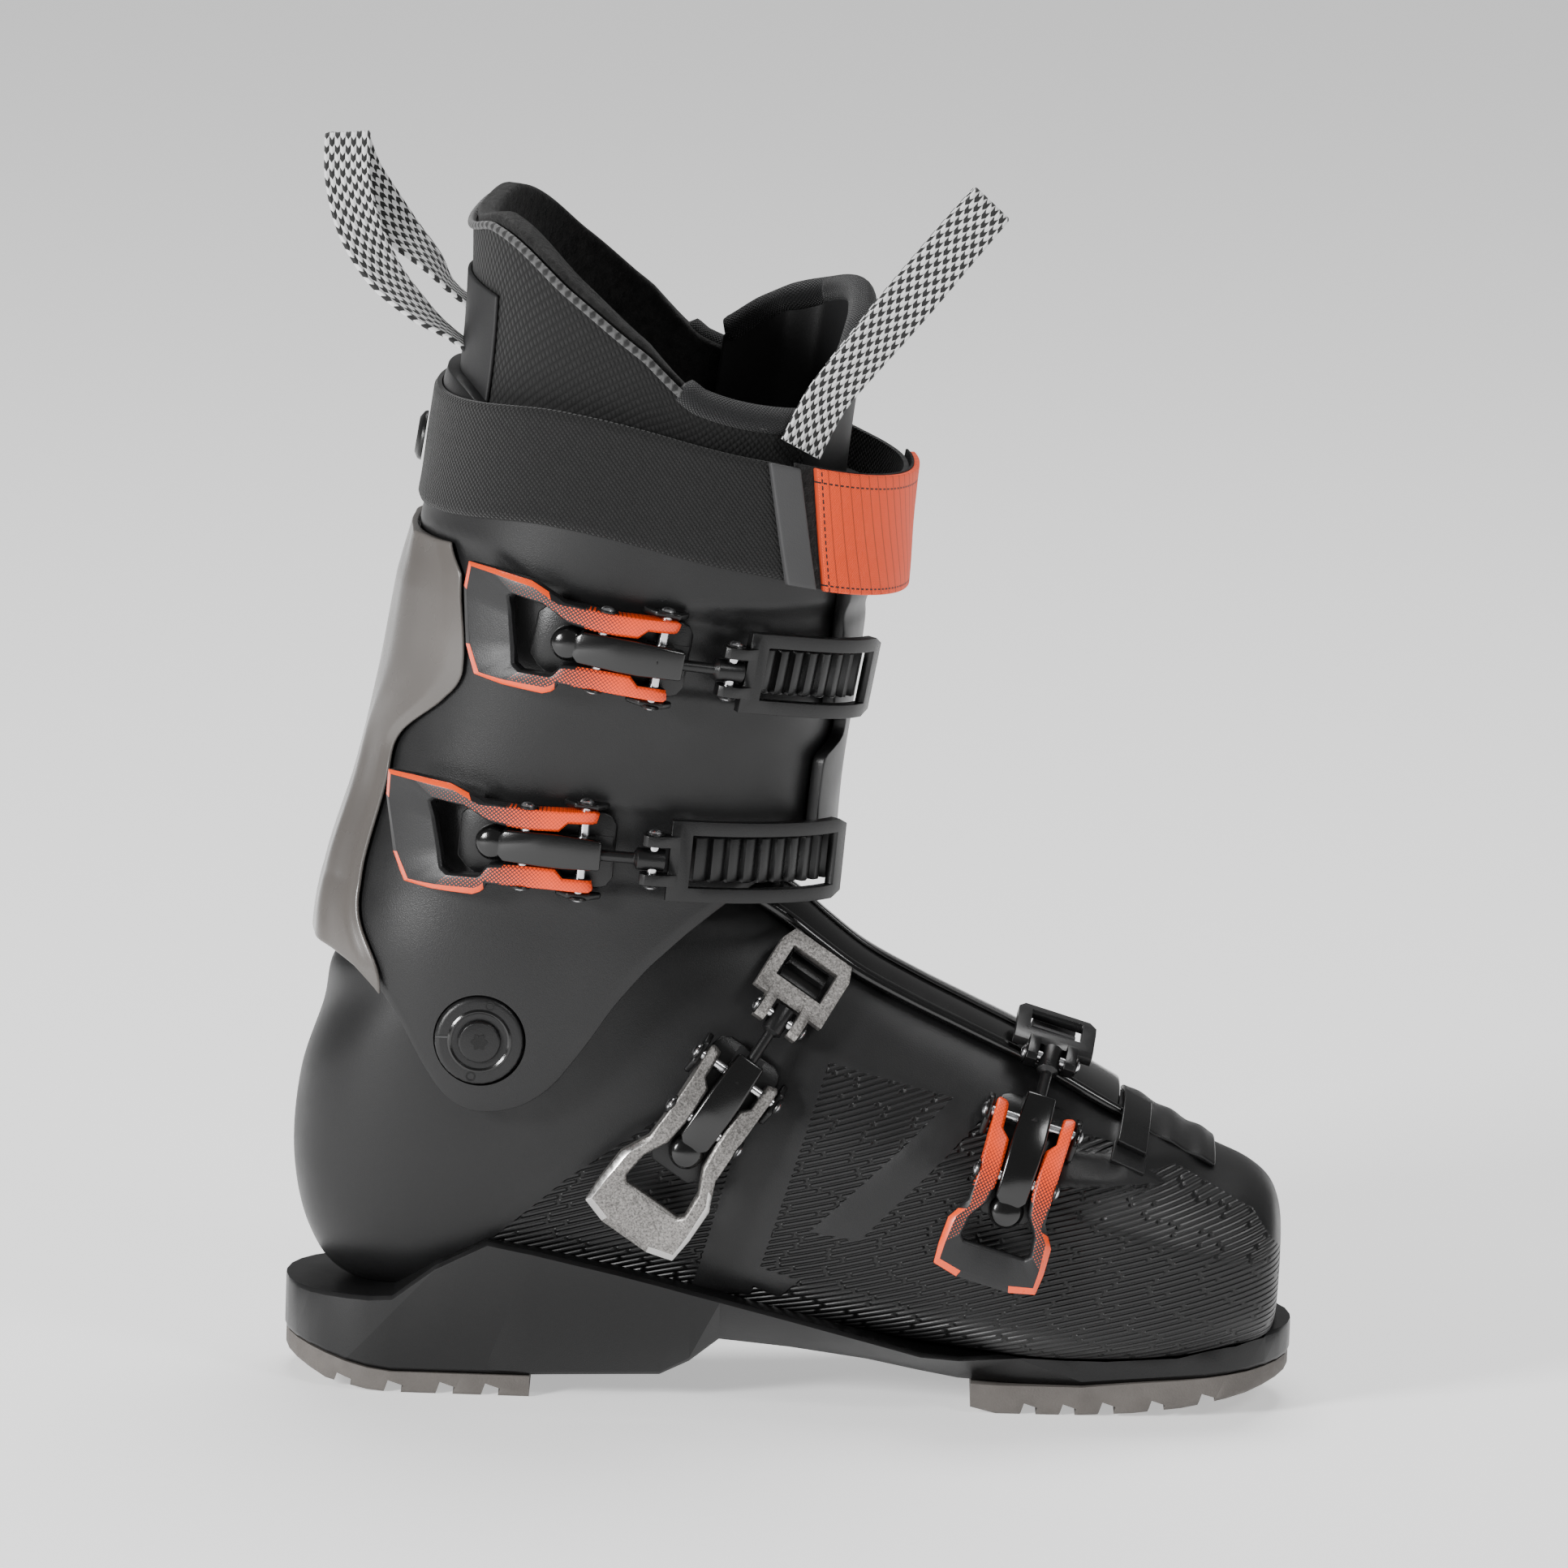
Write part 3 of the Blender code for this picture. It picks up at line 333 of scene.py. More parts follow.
class Look:
    """A node material being wired: each call adds one node and returns its first output."""

    def __init__(self, name):
        self.material = bpy.data.materials.new(name)
        self.material.use_nodes = True
        self.tree = self.material.node_tree
        self.shader = self.tree.nodes["Principled BSDF"]
        self.coords = self.add("ShaderNodeTexCoord")
        self.where = self.coords.outputs["Object"]

    def add(self, kind, **settings):
        made = self.tree.nodes.new(kind)
        for key, value in settings.items():
            setattr(made, key, value)
        return made

    def feed(self, socket, value):
        if hasattr(value, "is_linked"):
            self.tree.links.new(value, socket)
        else:
            socket.default_value = value

    def set(self, **values):
        names = {"colour": "Base Color", "rough": "Roughness", "metal": "Metallic", "coat": "Coat Weight",
                 "coat_rough": "Coat Roughness", "sheen": "Sheen Weight", "sheen_rough": "Sheen Roughness",
                 "normal": "Normal", "specular": "Specular IOR Level"}
        for key, value in values.items():
            self.feed(self.shader.inputs[names[key]], value)
        return self.material

    def placed(self, vector, turn, scale=1.0):
        """A texture space turned by degrees about X, Y and Z, then scaled."""
        node = self.add("ShaderNodeMapping")
        self.feed(node.inputs["Vector"], vector)
        node.inputs["Rotation"].default_value = [math.radians(a) for a in turn]
        node.inputs["Scale"].default_value = (scale, scale, 1)
        return node.outputs["Vector"]

    def uv(self, pitch=1.0, turn=0.0):
        """Both UV lengths, counted in pitches (metres), after a turn in degrees."""
        place = self.placed(self.coords.outputs["UV"], (0, 0, turn), 1 / pitch)
        return self.axis(place, 0), self.axis(place, 1)

    def noise(self, scale, detail, rough=0.55):
        node = self.add("ShaderNodeTexNoise")
        self.feed(node.inputs["Vector"], self.where)
        node.inputs["Scale"].default_value = scale
        node.inputs["Detail"].default_value = detail
        node.inputs["Roughness"].default_value = rough
        return node.outputs["Fac"]

    def math(self, kind, a, b=0.0):
        node = self.add("ShaderNodeMath", operation=kind)
        self.feed(node.inputs[0], a)
        self.feed(node.inputs[1], b)
        return node.outputs[0]

    def span(self, value, low, high, to_low, to_high):
        node = self.add("ShaderNodeMapRange")
        for i, number in enumerate((value, low, high, to_low, to_high)):
            self.feed(node.inputs[i], number)
        return node.outputs[0]

    def blend(self, factor, a, b):
        node = self.add("ShaderNodeMix", data_type="RGBA")
        self.feed(node.inputs["Factor"], factor)
        self.feed(node.inputs["A"], a if hasattr(a, "is_linked") else (*a, 1))
        self.feed(node.inputs["B"], b if hasattr(b, "is_linked") else (*b, 1))
        return node.outputs["Result"]

    def axis(self, vector, which):
        node = self.add("ShaderNodeSeparateXYZ")
        self.feed(node.inputs[0], vector)
        return node.outputs[which]

    def bump(self, height, distance, under=None):
        node = self.add("ShaderNodeBump")
        self.feed(node.inputs["Height"], height)
        node.inputs["Distance"].default_value = distance
        node.inputs["Strength"].default_value = 1.0
        if under:
            self.feed(node.inputs["Normal"], under)
        return node.outputs["Normal"]


def inside_outline(look, outline):
    """How far a point lies inside a convex outline over X and Z (mm), seen from the side, in metres."""
    x, z = look.axis(look.where, 0), look.axis(look.where, 2)
    nearest = None
    for (x1, z1), (x2, z2) in zip(outline, outline[1:] + outline[:1]):
        nx, nz = z2 - z1, x1 - x2
        size = math.hypot(nx, nz)
        along = look.math("MULTIPLY", look.math("SUBTRACT", x, x1 * MM), nx / size)
        up = look.math("MULTIPLY", look.math("SUBTRACT", z, z1 * MM), nz / size)
        distance = look.math("ADD", along, up)
        nearest = distance if nearest is None else look.math("MINIMUM", nearest, distance)
    return nearest


def moulded_plastic(name, colour, rough, grain=0.00006, coat=0.0):
    """Satin moulded polyurethane: fine spark grain, soft flow mottling and a slight polish change."""
    look = Look(name)
    flow = look.noise(22, 2)
    darker, lighter = [c * 0.88 for c in colour], [c * 1.14 for c in colour]
    tone = look.blend(look.span(flow, 0.35, 0.7, 0, 1), darker, lighter)
    return look.set(colour=tone, rough=look.span(look.noise(60, 3), 0.3, 0.7, rough - 0.04, rough + 0.05),
                    normal=look.bump(look.noise(2600, 2), grain), coat=coat, coat_rough=0.12, specular=0.4)


def ribbed_shell():
    """The shell's plastic, with staggered wavy ribs inside the side panel and smooth bands across it; the sunk
    panel is darkened with painted shade and the rib crests carry a painted highlight.
    """
    look = Look("shell_plastic_ribbed")
    slope = look.placed(look.where, (0, 15, 0))
    along = look.axis(slope, 0)
    up = look.axis(slope, 2)
    wavy = look.math("MULTIPLY", look.math("SINE", look.math("MULTIPLY", along, 60.0)), 0.0006)
    row = look.math("MULTIPLY", look.math("ADD", up, wavy), 1 / RIB_PITCH)
    index = look.math("FLOOR", row)
    inside = look.math("FRACT", row)
    ridge = look.math("PINGPONG", inside, 0.5)
    ridge = look.span(ridge, 0.10, 0.34, 0, 1)
    shift = look.math("MULTIPLY", look.math("SINE", look.math("MULTIPLY", index, 12.9)), 3.7)
    run = look.math("FRACT", look.math("ADD", look.math("MULTIPLY", along, 1 / RIB_LENGTH), shift))
    ends = look.span(look.math("PINGPONG", run, 0.5), 0.02, 0.07, 0, 1)
    panel = look.span(inside_outline(look, RIB_PANEL), 0, 0.0004, 0, 1)
    for band in SMOOTH_BANDS:
        panel = look.math("MULTIPLY", panel, look.span(inside_outline(look, band), -0.0004, 0, 1, 0))
    panel = look.math("MULTIPLY", panel, look.span(look.axis(look.where, 1), -0.016, -0.008, 1, 0))
    height = look.math("MULTIPLY", look.math("MULTIPLY", ridge, ends), panel)
    step = look.bump(look.math("SUBTRACT", 1.0, panel), 0.001)
    grain = look.bump(look.noise(2600, 2), 0.00005, step)
    # Painted shade: the sunk rib panel is darkened to a quarter of the shell's tone; painted highlight: the rib
    # crests are painted 1.5 times lighter.
    dark = look.blend(panel, SHELL_TONE, [c * 0.25 for c in SHELL_TONE])
    tone = look.blend(height, dark, [c * 1.5 for c in SHELL_TONE])
    return look.set(colour=tone, rough=look.span(look.noise(50, 3), 0.3, 0.7, 0.36, 0.46),
                    normal=look.bump(height, 0.0006, grain), specular=0.4)


def chassis_plastic():
    """Black insert under the foot, its heel lug in the shell's dark grey."""
    look = Look("chassis_plastic")
    heel = inside_outline(look, HEEL_LUG)
    share = look.span(heel, -0.0001, 0.0001, 0, 1)
    return look.set(colour=look.blend(share, (0.0028, 0.0028, 0.003), SHELL_TONE),
                    rough=look.span(look.noise(60, 3), 0.3, 0.7, 0.33, 0.42),
                    normal=look.bump(look.noise(2600, 2), 0.00005), specular=0.4)


def tread_rubber():
    look = Look("sole_rubber")
    mottle = look.noise(90, 4)
    return look.set(colour=look.blend(mottle, (0.075, 0.068, 0.062), (0.145, 0.131, 0.12)),
                    rough=look.span(look.noise(300, 3), 0.3, 0.7, 0.62, 0.8),
                    normal=look.bump(look.noise(1500, 4), 0.00015))


def blasted_metal():
    """Bead-blasted, tarnished gunmetal."""
    look = Look("gunmetal")
    speck = look.noise(1500, 2, 0.7)
    tone = look.blend(look.span(speck, 0.35, 0.65, 0, 1), (0.13, 0.125, 0.12), (0.36, 0.345, 0.33))
    return look.set(colour=tone, metal=0.85, rough=look.span(look.noise(700, 3), 0.3, 0.7, 0.34, 0.5),
                    normal=look.bump(look.noise(1800, 3), 0.00012))


def bright_steel():
    look = Look("steel_pin")
    return look.set(colour=look.blend(look.noise(400, 2), (0.55, 0.55, 0.56), (0.75, 0.75, 0.77)), metal=1.0,
                    rough=look.span(look.noise(900, 2), 0.3, 0.7, 0.14, 0.26))


def halftone_orange():
    """Orange lacquer that breaks into dots towards the grip: U runs along the lever from its pin."""
    look = Look("orange_lever")
    dots = [look.math("ABSOLUTE", look.math("SUBTRACT", look.math("FRACT", place), 0.5))
            for place in look.uv(DOT_PITCH, 45)]
    reach = look.math("MAXIMUM", dots[0], dots[1])
    inked = look.math("LESS_THAN", reach, look.span(look.uv()[0], -0.050, -0.010, 0.0, 0.46))
    return look.set(colour=look.blend(inked, (0.02, 0.02, 0.02), (1.0, 0.07, 0.002)),
                    rough=look.span(look.noise(300, 2), 0.3, 0.7, 0.34, 0.44),
                    normal=look.bump(look.noise(2200, 2), 0.00004))


def orange_lacquer():
    look = Look("orange_edge")
    return look.set(colour=look.blend(look.noise(60, 2), (0.9, 0.0765, 0.0054), (1.0, 0.085, 0.006)),
                    rough=look.span(look.noise(300, 2), 0.3, 0.7, 0.26, 0.36), coat=0.3, coat_rough=0.15)


def brushed_edge():
    look = Look("machined_edge")
    return look.set(colour=(0.62, 0.61, 0.6, 1), metal=1.0,
                    rough=look.span(look.noise(700, 2), 0.3, 0.7, 0.2, 0.34))


def weave_cloth(name, dark, light, pitch, rough=0.8):
    """Twill of crossing yarns on UVs in metres; the gaps between yarns carry painted shade and the crests are
    lighter, patchy by random noise.
    """
    look = Look(name)
    u, v = look.uv(pitch, 45)
    warp = look.math("ABSOLUTE", look.math("SINE", look.math("MULTIPLY", u, math.pi)))
    weft = look.math("ABSOLUTE", look.math("SINE", look.math("MULTIPLY", v, math.pi)))
    yarn = look.math("MULTIPLY", warp, weft)
    # Painted shade: colour follows the yarn height, darker in the gaps between yarns and lighter on the crests,
    # with random patchiness from the noise.
    tone = look.blend(look.math("MULTIPLY", yarn, look.noise(400, 2)), dark, light)
    return look.set(colour=tone, rough=rough,
                    normal=look.bump(yarn, 0.00035), sheen=0.15, sheen_rough=0.5, specular=0.3)


def checked_webbing():
    """Black and white yarns: staggered slanting picks, on UVs with U along the band in metres."""
    look = Look("loop_webbing")
    u, v = look.uv()
    cross = look.math("MULTIPLY", v, 1 / 0.00165)
    column = look.math("FLOOR", cross)
    lean = look.math("MULTIPLY", look.math("PINGPONG", look.math("FRACT", cross), 0.5), 0.5)
    stagger = look.math("MULTIPLY", look.math("MODULO", column, 2.0), 0.5)
    picks = look.math("ADD", look.math("MULTIPLY", u, 1 / 0.0046), stagger)
    run = look.math("FRACT", look.math("ADD", picks, lean))
    white = look.span(look.math("PINGPONG", run, 0.5), 0.22, 0.26, 0, 1)
    yarn = look.math("PINGPONG", look.math("FRACT", cross), 0.5)
    fuzz = look.noise(3000, 3)
    tone = look.blend(white, (0.012, 0.012, 0.012), look.blend(fuzz, (0.55, 0.55, 0.55), (0.9, 0.9, 0.9)))
    raised = look.math("ADD", yarn, look.math("MULTIPLY", white, 0.3))
    return look.set(colour=tone, rough=0.85, normal=look.bump(raised, 0.0005), sheen=0.2)


def fleece_cloth():
    look = Look("liner_fleece")
    pile = look.noise(260, 6, 0.75)
    tone = look.blend(look.span(pile, 0.35, 0.7, 0, 1), (0.003, 0.003, 0.003), (0.02, 0.0195, 0.019))
    return look.set(colour=tone,
                    rough=0.95, normal=look.bump(pile, 0.0016), sheen=0.12, sheen_rough=0.6, specular=0.1)


def braided_piping():
    look = Look("braided_piping")
    u, v = look.uv()
    lines = [look.math("SINE", look.math("ADD", look.math("MULTIPLY", u, 1900), look.math("MULTIPLY", v, s)))
             for s in (900, -900)]
    yarn = look.span(look.math("MAXIMUM", lines[0], lines[1]), -0.2, 0.9, 0, 1)
    # Painted shade and highlight: the gaps between strands are near black and the strand crests are painted
    # lighter.
    return look.set(colour=look.blend(yarn, (0.006, 0.006, 0.006), (0.075, 0.075, 0.075)), rough=0.8,
                    normal=look.bump(yarn, 0.0004), sheen=0.2)


def striped_tab():
    """Orange coated webbing with fine dark fanned stripes."""
    look = Look("orange_tab")
    u, v = look.uv()
    fan = look.math("ADD", u, look.math("MULTIPLY", look.math("MULTIPLY", u, v), 5.5))
    line = look.math("PINGPONG", look.math("MULTIPLY", fan, 1 / 0.0052), 0.5)
    ink = look.span(line, 0.03, 0.06, 0.75, 0)
    thread = None
    for distance, run in ((look.math("SUBTRACT", u, 0.0018), v), (look.math("SUBTRACT", v, 0.0020), u),
                          (look.math("SUBTRACT", v, 0.0353), u)):
        dash = look.math("LESS_THAN", look.math("FRACT", look.math("MULTIPLY", run, 1 / 0.0022)), 0.62)
        near = look.math("LESS_THAN", look.math("ABSOLUTE", distance), 0.00028)
        stitch = look.math("MULTIPLY", dash, near)
        thread = stitch if thread is None else look.math("MAXIMUM", thread, stitch)
    weave = look.math("MULTIPLY", look.math("SINE", look.math("MULTIPLY", u, 7000)),
                      look.math("SINE", look.math("MULTIPLY", v, 7000)))
    cloth = look.blend(ink, (1.0, 0.075, 0.002), (0.28, 0.025, 0.003))
    return look.set(colour=look.blend(thread, cloth, (0.004, 0.004, 0.004)), rough=0.6,
                    normal=look.bump(weave, 0.00012), sheen=0.1, specular=0.35)


SHELL_TONE = (0.0085, 0.0085, 0.0088)
PLASTIC_CUFF = moulded_plastic("cuff_plastic", SHELL_TONE, 0.38)
PLASTIC_CHASSIS = chassis_plastic()
PLASTIC_GLOSS = moulded_plastic("flap_gloss", (0.003, 0.003, 0.003), 0.17, 0.00002, 0.4)
PLASTIC_TRIM = moulded_plastic("trim_plastic", (0.005, 0.005, 0.0052), 0.3)
PLASTIC_LEVER = moulded_plastic("lever_plastic", (0.010, 0.010, 0.0105), 0.4)
PLASTIC_SPINE = moulded_plastic("spine_plastic", (0.10, 0.091, 0.084), 0.27, 0.00002, 0.3)
# Near-black that stands for the shade inside the pivots' spanner holes and star drive: painted shade.
PAINTED_SHADE_BLACK = moulded_plastic("socket_painted_shade", (0.001, 0.001, 0.001), 0.6)
PLASTIC_GREY = moulded_plastic("grey_trim", (0.045, 0.045, 0.046), 0.5)
RUBBER, GUNMETAL, STEEL = tread_rubber(), blasted_metal(), bright_steel()
FLEECE, PIPING, WEBBING = fleece_cloth(), braided_piping(), checked_webbing()
LINER_CLOTH = weave_cloth("liner_textile", (0.003, 0.003, 0.003), (0.016, 0.016, 0.016), 0.0017)
STRAP_CLOTH = weave_cloth("strap_webbing", (0.002, 0.002, 0.002), (0.014, 0.014, 0.014), 0.0012)
TUBE_CLOTH = weave_cloth("tube_jersey", (0.007, 0.007, 0.008), (0.02, 0.021, 0.021), 0.0008, 0.85)
LINER_SMOOTH = moulded_plastic("liner_panel", (0.013, 0.013, 0.0135), 0.55, 0.0001)
TAB_CLOTH = striped_tab()
ORANGE_EDGE = orange_lacquer()
ORANGE_DOTS = halftone_orange()
SILVER_EDGE = brushed_edge()


# ------------------------------------------------------------------ shells

def build_shell():
    """The lower shell: side panel sunk, smooth bands left proud, toe saddle and buckle wedge standing out."""
    stations, around = [0.0] + steps(0.012, 1.0, 190), 200
    inner_stations, inner_around = steps(1.0, 0.14, 40), 50

    def outer(t, a):
        p = shell_point(t, a)
        side = ease(4, 14, -p.y)
        band = max(edge_distance((p.x, p.z), outline) for outline in SMOOTH_BANDS)
        sunk = ease(-1.5, 1.5, edge_distance((p.x, p.z), RIB_PANEL)) * ease(1.5, -1.5, band)
        saddle = ease(-3, 2, edge_distance((p.x, p.z), TOE_SADDLE))
        wedge = ease(-1.5, 1.0, edge_distance((p.x, p.z), BUCKLE_WEDGE))
        return shell_point(t, a, (1.3 * saddle + 0.8 * wedge - 0.6 * sunk) * side)

    def ring_faces(start, rings, sides):
        starts = [start + i * sides for i in range(rings)]
        return [(a + k, a + (k + 1) % sides, b + (k + 1) % sides, b + k)
                for a, b in zip(starts, starts[1:]) for k in range(sides)]
    points = [outer(t, math.tau * k / around) for t in stations for k in range(around)]
    start = len(points)
    points += [shell_point(t, math.tau * k / inner_around, -SHELL_WALL)
               for t in inner_stations for k in range(inner_around)]
    faces = ring_faces(0, len(stations), around) + [tuple(range(around))]
    faces += ring_faces(start, len(inner_stations), inner_around)
    faces.append(tuple(range(len(points) - inner_around, len(points))))
    ratio = around // inner_around
    for k in range(inner_around):
        rim = [start - around + (k * ratio + q) % around for q in range(ratio + 1)]
        faces.append((*rim, start + (k + 1) % inner_around, start + k))
    skin = mesh_piece("lower_shell_skin", points, faces, ribbed_shell(), angle=50)
    show(skin, "shell", "shell_plastic", "lower_shell")


def build_flap():
    """The glossy overlap along the instep, its outer edge rolled into a tube."""
    us, vs = steps(0.285, 0.765, 70), steps(-math.radians(21), math.radians(27), 26)

    def point(u, v, offset):
        crown = 0.6 * math.cos((v - math.radians(3)) * 3.2)
        return shell_point(u, v, offset + crown * (offset > 1))
    flap = plate("instep_flap_skin", point, us, vs, 0.4, 3.0, PLASTIC_GLOSS, 0.8)
    show(flap, "shell", "instep_flap", "instep_flap")
    edge = [shell_point(u, -math.radians(21.5), 2.0) for u in steps(0.27, 0.77, 60)]
    roll = tube("flap_rolled_edge", edge, 2.2, PLASTIC_GLOSS,
                taper=lambda f: 0.6 + 0.4 * math.sin(math.pi * f) ** 0.4)
    show(roll, "shell", "instep_flap")
    seam = [shell_point(u, -math.radians(5), 4.0) for u in steps(0.32, 0.7, 50)]
    show(tube("flap_centre_bead", seam, 0.7, PLASTIC_GLOSS), "shell", "instep_flap")


def build_gusset():
    """The seal between the flap and the toe box, in three soft folds."""
    rear, front = 0.192, 0.28

    def point(u, v, offset):
        fold = 0.7 * math.sin((u - rear) / (front - rear) * math.pi * 3) ** 2
        return shell_point(u, v, offset + fold * (offset > 1))
    us, vs = steps(rear, front, 30), steps(-math.radians(24), math.radians(24), 24)
    gusset = plate("toe_gusset_skin", point, us, vs, 0.3, 1.9, PLASTIC_CUFF, 0.7)
    show(gusset, "shell", "shell_plastic", "toe_gusset")


def build_cuff():
    """The hinged cuff: overlap at the shin, sunk buckle pads, a raised collar under the strap."""
    us = steps(math.radians(20), math.radians(-386), 330)
    vs = steps(0, 1, 84)
    lows = {u: edge_height(CUFF_LOWER, u) for u in us}
    highs = {u: edge_height(CUFF_UPPER, u) for u in us}

    def point(u, f, offset):
        z = mix(lows[u], highs[u], f)
        bay = math.exp(-((z - 211) / 6) ** 4)
        angle = u + math.radians(13 * bay) * ease(math.radians(-352), math.radians(-386), u)
        flat = cuff_point(angle, z)
        relief = 0.0
        if offset == 0:
            if flat.y < 0 and -math.pi < u < 0.4:
                pads = max(edge_distance((flat.x, z), pad) for pad in BASE_PADS)
                relief -= 0.9 * ease(-0.8, 0.8, pads)
            collar = smooth_table(COLLAR_LINE, flat.x)
            relief += 0.9 * ease(-1.5, 2.5, z - collar) - 0.5 * math.exp(-((z - collar + 3.5) / 2.5) ** 2)
            relief -= 0.8 * ease(0.03, 0.0, f) + 0.8 * ease(0.975, 1.0, f)
        return cuff_point(angle, z, offset + relief + overlap_step(u))
    cuff = plate("cuff_skin", point, us, vs, -CUFF_WALL, 0, PLASTIC_CUFF, 1.0)
    bore_cuff(cuff)
    show(cuff, "cuff", "cuff_plastic", "cuff")


def bore_cuff(cuff):
    """Opens the two holes that the pivot discs turn in."""
    for sign in (-1, 1):
        bpy.ops.object.select_all(action="DESELECT")
        bpy.ops.mesh.primitive_cylinder_add(vertices=64, radius=14.2 * MM, depth=40 * MM,
                                            location=(PIVOT.x * MM, sign * 60 * MM, PIVOT.z * MM),
                                            rotation=(math.radians(90), 0, 0))
        cutter = bpy.context.object
        hole = cuff.modifiers.new("hole", "BOOLEAN")
        hole.object = cutter
        hole.operation = "DIFFERENCE"
        apply_modifiers(cuff)
        bpy.data.objects.remove(cutter)
    smooth_faces(cuff.data, 40)


def build_spine():
    """The waisted stiffener, with two raised ridges and a thinned rim."""
    top = 268.0

    def point(f, side, offset):
        z, angle = top, math.pi
        for _ in range(5):
            z = mix(top, edge_height(CUFF_LOWER, angle) + 1.5, f)
            angle = math.pi + side * math.radians(smooth_table(SPINE_HALF, z))
        ridges = sum(math.exp(-((side - at) / 0.13) ** 2) for at in (-0.42, 0.42))
        rim = ease(0.86, 1.0, abs(side))
        return cuff_point(angle, z, offset + (ridges - rim - 0.4) * (offset > 2))
    spine = plate("spine_skin", point, steps(0, 1, 110), steps(1, -1, 60), 1.0, 3.4, PLASTIC_SPINE, 0.5)
    show(spine, "cuff", "spine_plastic", "cuff_spine")


# ------------------------------------------------------------------ chassis, soles, pivots

def finish_node(node, material, bevel):
    """A rigid CAD piece shown as it is, with rounded edges from live modifiers."""
    piece = NODES[node]
    weld = piece.modifiers.new("weld", "WELD")
    weld.merge_threshold = 1e-5
    rounding = piece.modifiers.new("rounding", "BEVEL")
    rounding.width = bevel * MM
    rounding.segments = 3
    rounding.limit_method = "ANGLE"
    rounding.angle_limit = math.radians(35)
    rounding.use_clamp_overlap = True
    piece.data.materials.clear()
    piece.data.materials.append(material)
    smooth_faces(piece.data, 30)


def build_rigid_nodes():
    finish_node("sole_chassis", PLASTIC_CHASSIS, 1.2)
    finish_node("heel_sole", RUBBER, 0.8)
    finish_node("toe_sole", RUBBER, 0.8)
    finish_node("boot_board", PLASTIC_LEVER, 0.6)
    for side in ("outer", "inner"):
        finish_node("pivot_disc_" + side, PLASTIC_CUFF, 0.7)
        finish_node("pivot_screw_" + side, PLASTIC_TRIM, 0.5)
    finish_node("strap_rivet", PLASTIC_TRIM, 0.6)


def build_pivot_details():
    """Groove, two spanner holes and a star drive shown as near-black pieces of painted shade, and a tick on
    each pivot.
    """
    def around(turn, radius):
        return PIVOT + Vector((math.cos(turn), 0, math.sin(turn))) * radius
    for side, sign in (("outer", -1), ("inner", 1)):
        axis = Vector((0, sign, 0))
        profile = [(8.6, 53.4), (8.6, 53.9), (9.2, 54.2), (9.8, 53.9), (9.8, 53.4)]
        groove = turned(f"pivot_{side}_groove", profile, PIVOT, axis, PLASTIC_GLOSS, 64)
        show(groove, "cuff", "trim_plastic")
        for k, turn in enumerate((75, 258)):
            # Each spanner hole is a thin black disc of painted shade, not an opening.
            profile = [(1.5, 53.4), (1.5, 53.72), (1.1, 53.72), (1.0, 53.5)]
            place = around(math.radians(turn), 11.4)
            hole = turned(f"pivot_{side}_hole_{k}", profile, place, axis, PAINTED_SHADE_BLACK, 24)
            show(hole, "cuff", "trim_plastic")
        # The star drive is a thin black star of painted shade standing for its recess.
        turns = [math.tau * k / 24 for k in range(24)]
        rings = [[around(a, 2.3 + 0.45 * math.cos(6 * a)) + axis * height for a in turns]
                 for height in (55.3, 55.62)]
        show(rings_piece(f"pivot_{side}_star", rings, PAINTED_SHADE_BLACK), "shell", "trim_plastic")
        place = (PIVOT.x - 11.6, sign * 53.7, PIVOT.z + 1)
        tick = box(f"pivot_{side}_mark", place, (1.9, 0.25, 0.3), PLASTIC_GREY)
        show(tick, "cuff", "trim_plastic")


def box(name, centre, half, material):
    """A plain box from its centre and half sides."""
    corners = [Vector(centre) + Vector((x * half[0], y * half[1], z * half[2]))
               for x in (-1, 1) for y in (-1, 1) for z in (-1, 1)]
    faces = [(0, 1, 3, 2), (4, 6, 7, 5), (0, 4, 5, 1), (2, 3, 7, 6), (0, 2, 6, 4), (1, 5, 7, 3)]
    return mesh_piece(name, corners, faces, material)


def build_toe_details():
    """The hook bar beside the folded seal, and its foot."""
    def surface(t, a, offset):
        return shell_point(t, math.radians(a), offset)
    rows = (("toe_hook", (0.258, 0.282), (-42, -8), 1.5, 5.0, PLASTIC_TRIM, 0.9),
            ("toe_hook_foot", (0.256, 0.284), (-50, -40), 0.2, 2.6, PLASTIC_CUFF, 0.9))
    for name, (t0, t1), (a0, a1), low, high, material, rounding in rows:
        piece = plate(name, surface, steps(t0, t1, 24), steps(a0, a1, 24), low, high, material, rounding)
        show(piece, "shell", "shell_plastic")


# ------------------------------------------------------------------ buckles

# Each buckle: body, centre of its wrap (mm), tilt, lever pin and span (degrees), reach of the lever (mm).
BUCKLES = {
    "upper_buckle": ("cuff", (-47.6, 0, 239), -9.5, 0, (-75, 105), 63),
    "lower_buckle": ("cuff", (-68.2, 0, 178), -4, 0, (-75, 105), 63),
    "instep_buckle": ("shell", (-14.3, 0, 112.8), 56, -12, (-80, 115), 58),
    "toe_buckle": ("shell", (63.6, 0, 66), 73.8, 32, (-95, 75), 49)}
WRAPPED_NODES = {"cuff": ("cuff",), "shell": ("lower_shell", "instep_flap")}

# Pins by (length, height) on the wrap, and the lever's neck and tip before it is fitted (mm).
PIN_AT, LINK_PIN_AT, BAIL_PIN_AT = (0, 4.8), (-17.4, 7.8), (21.0, 7.6)
NECK, TIP = -20, -64


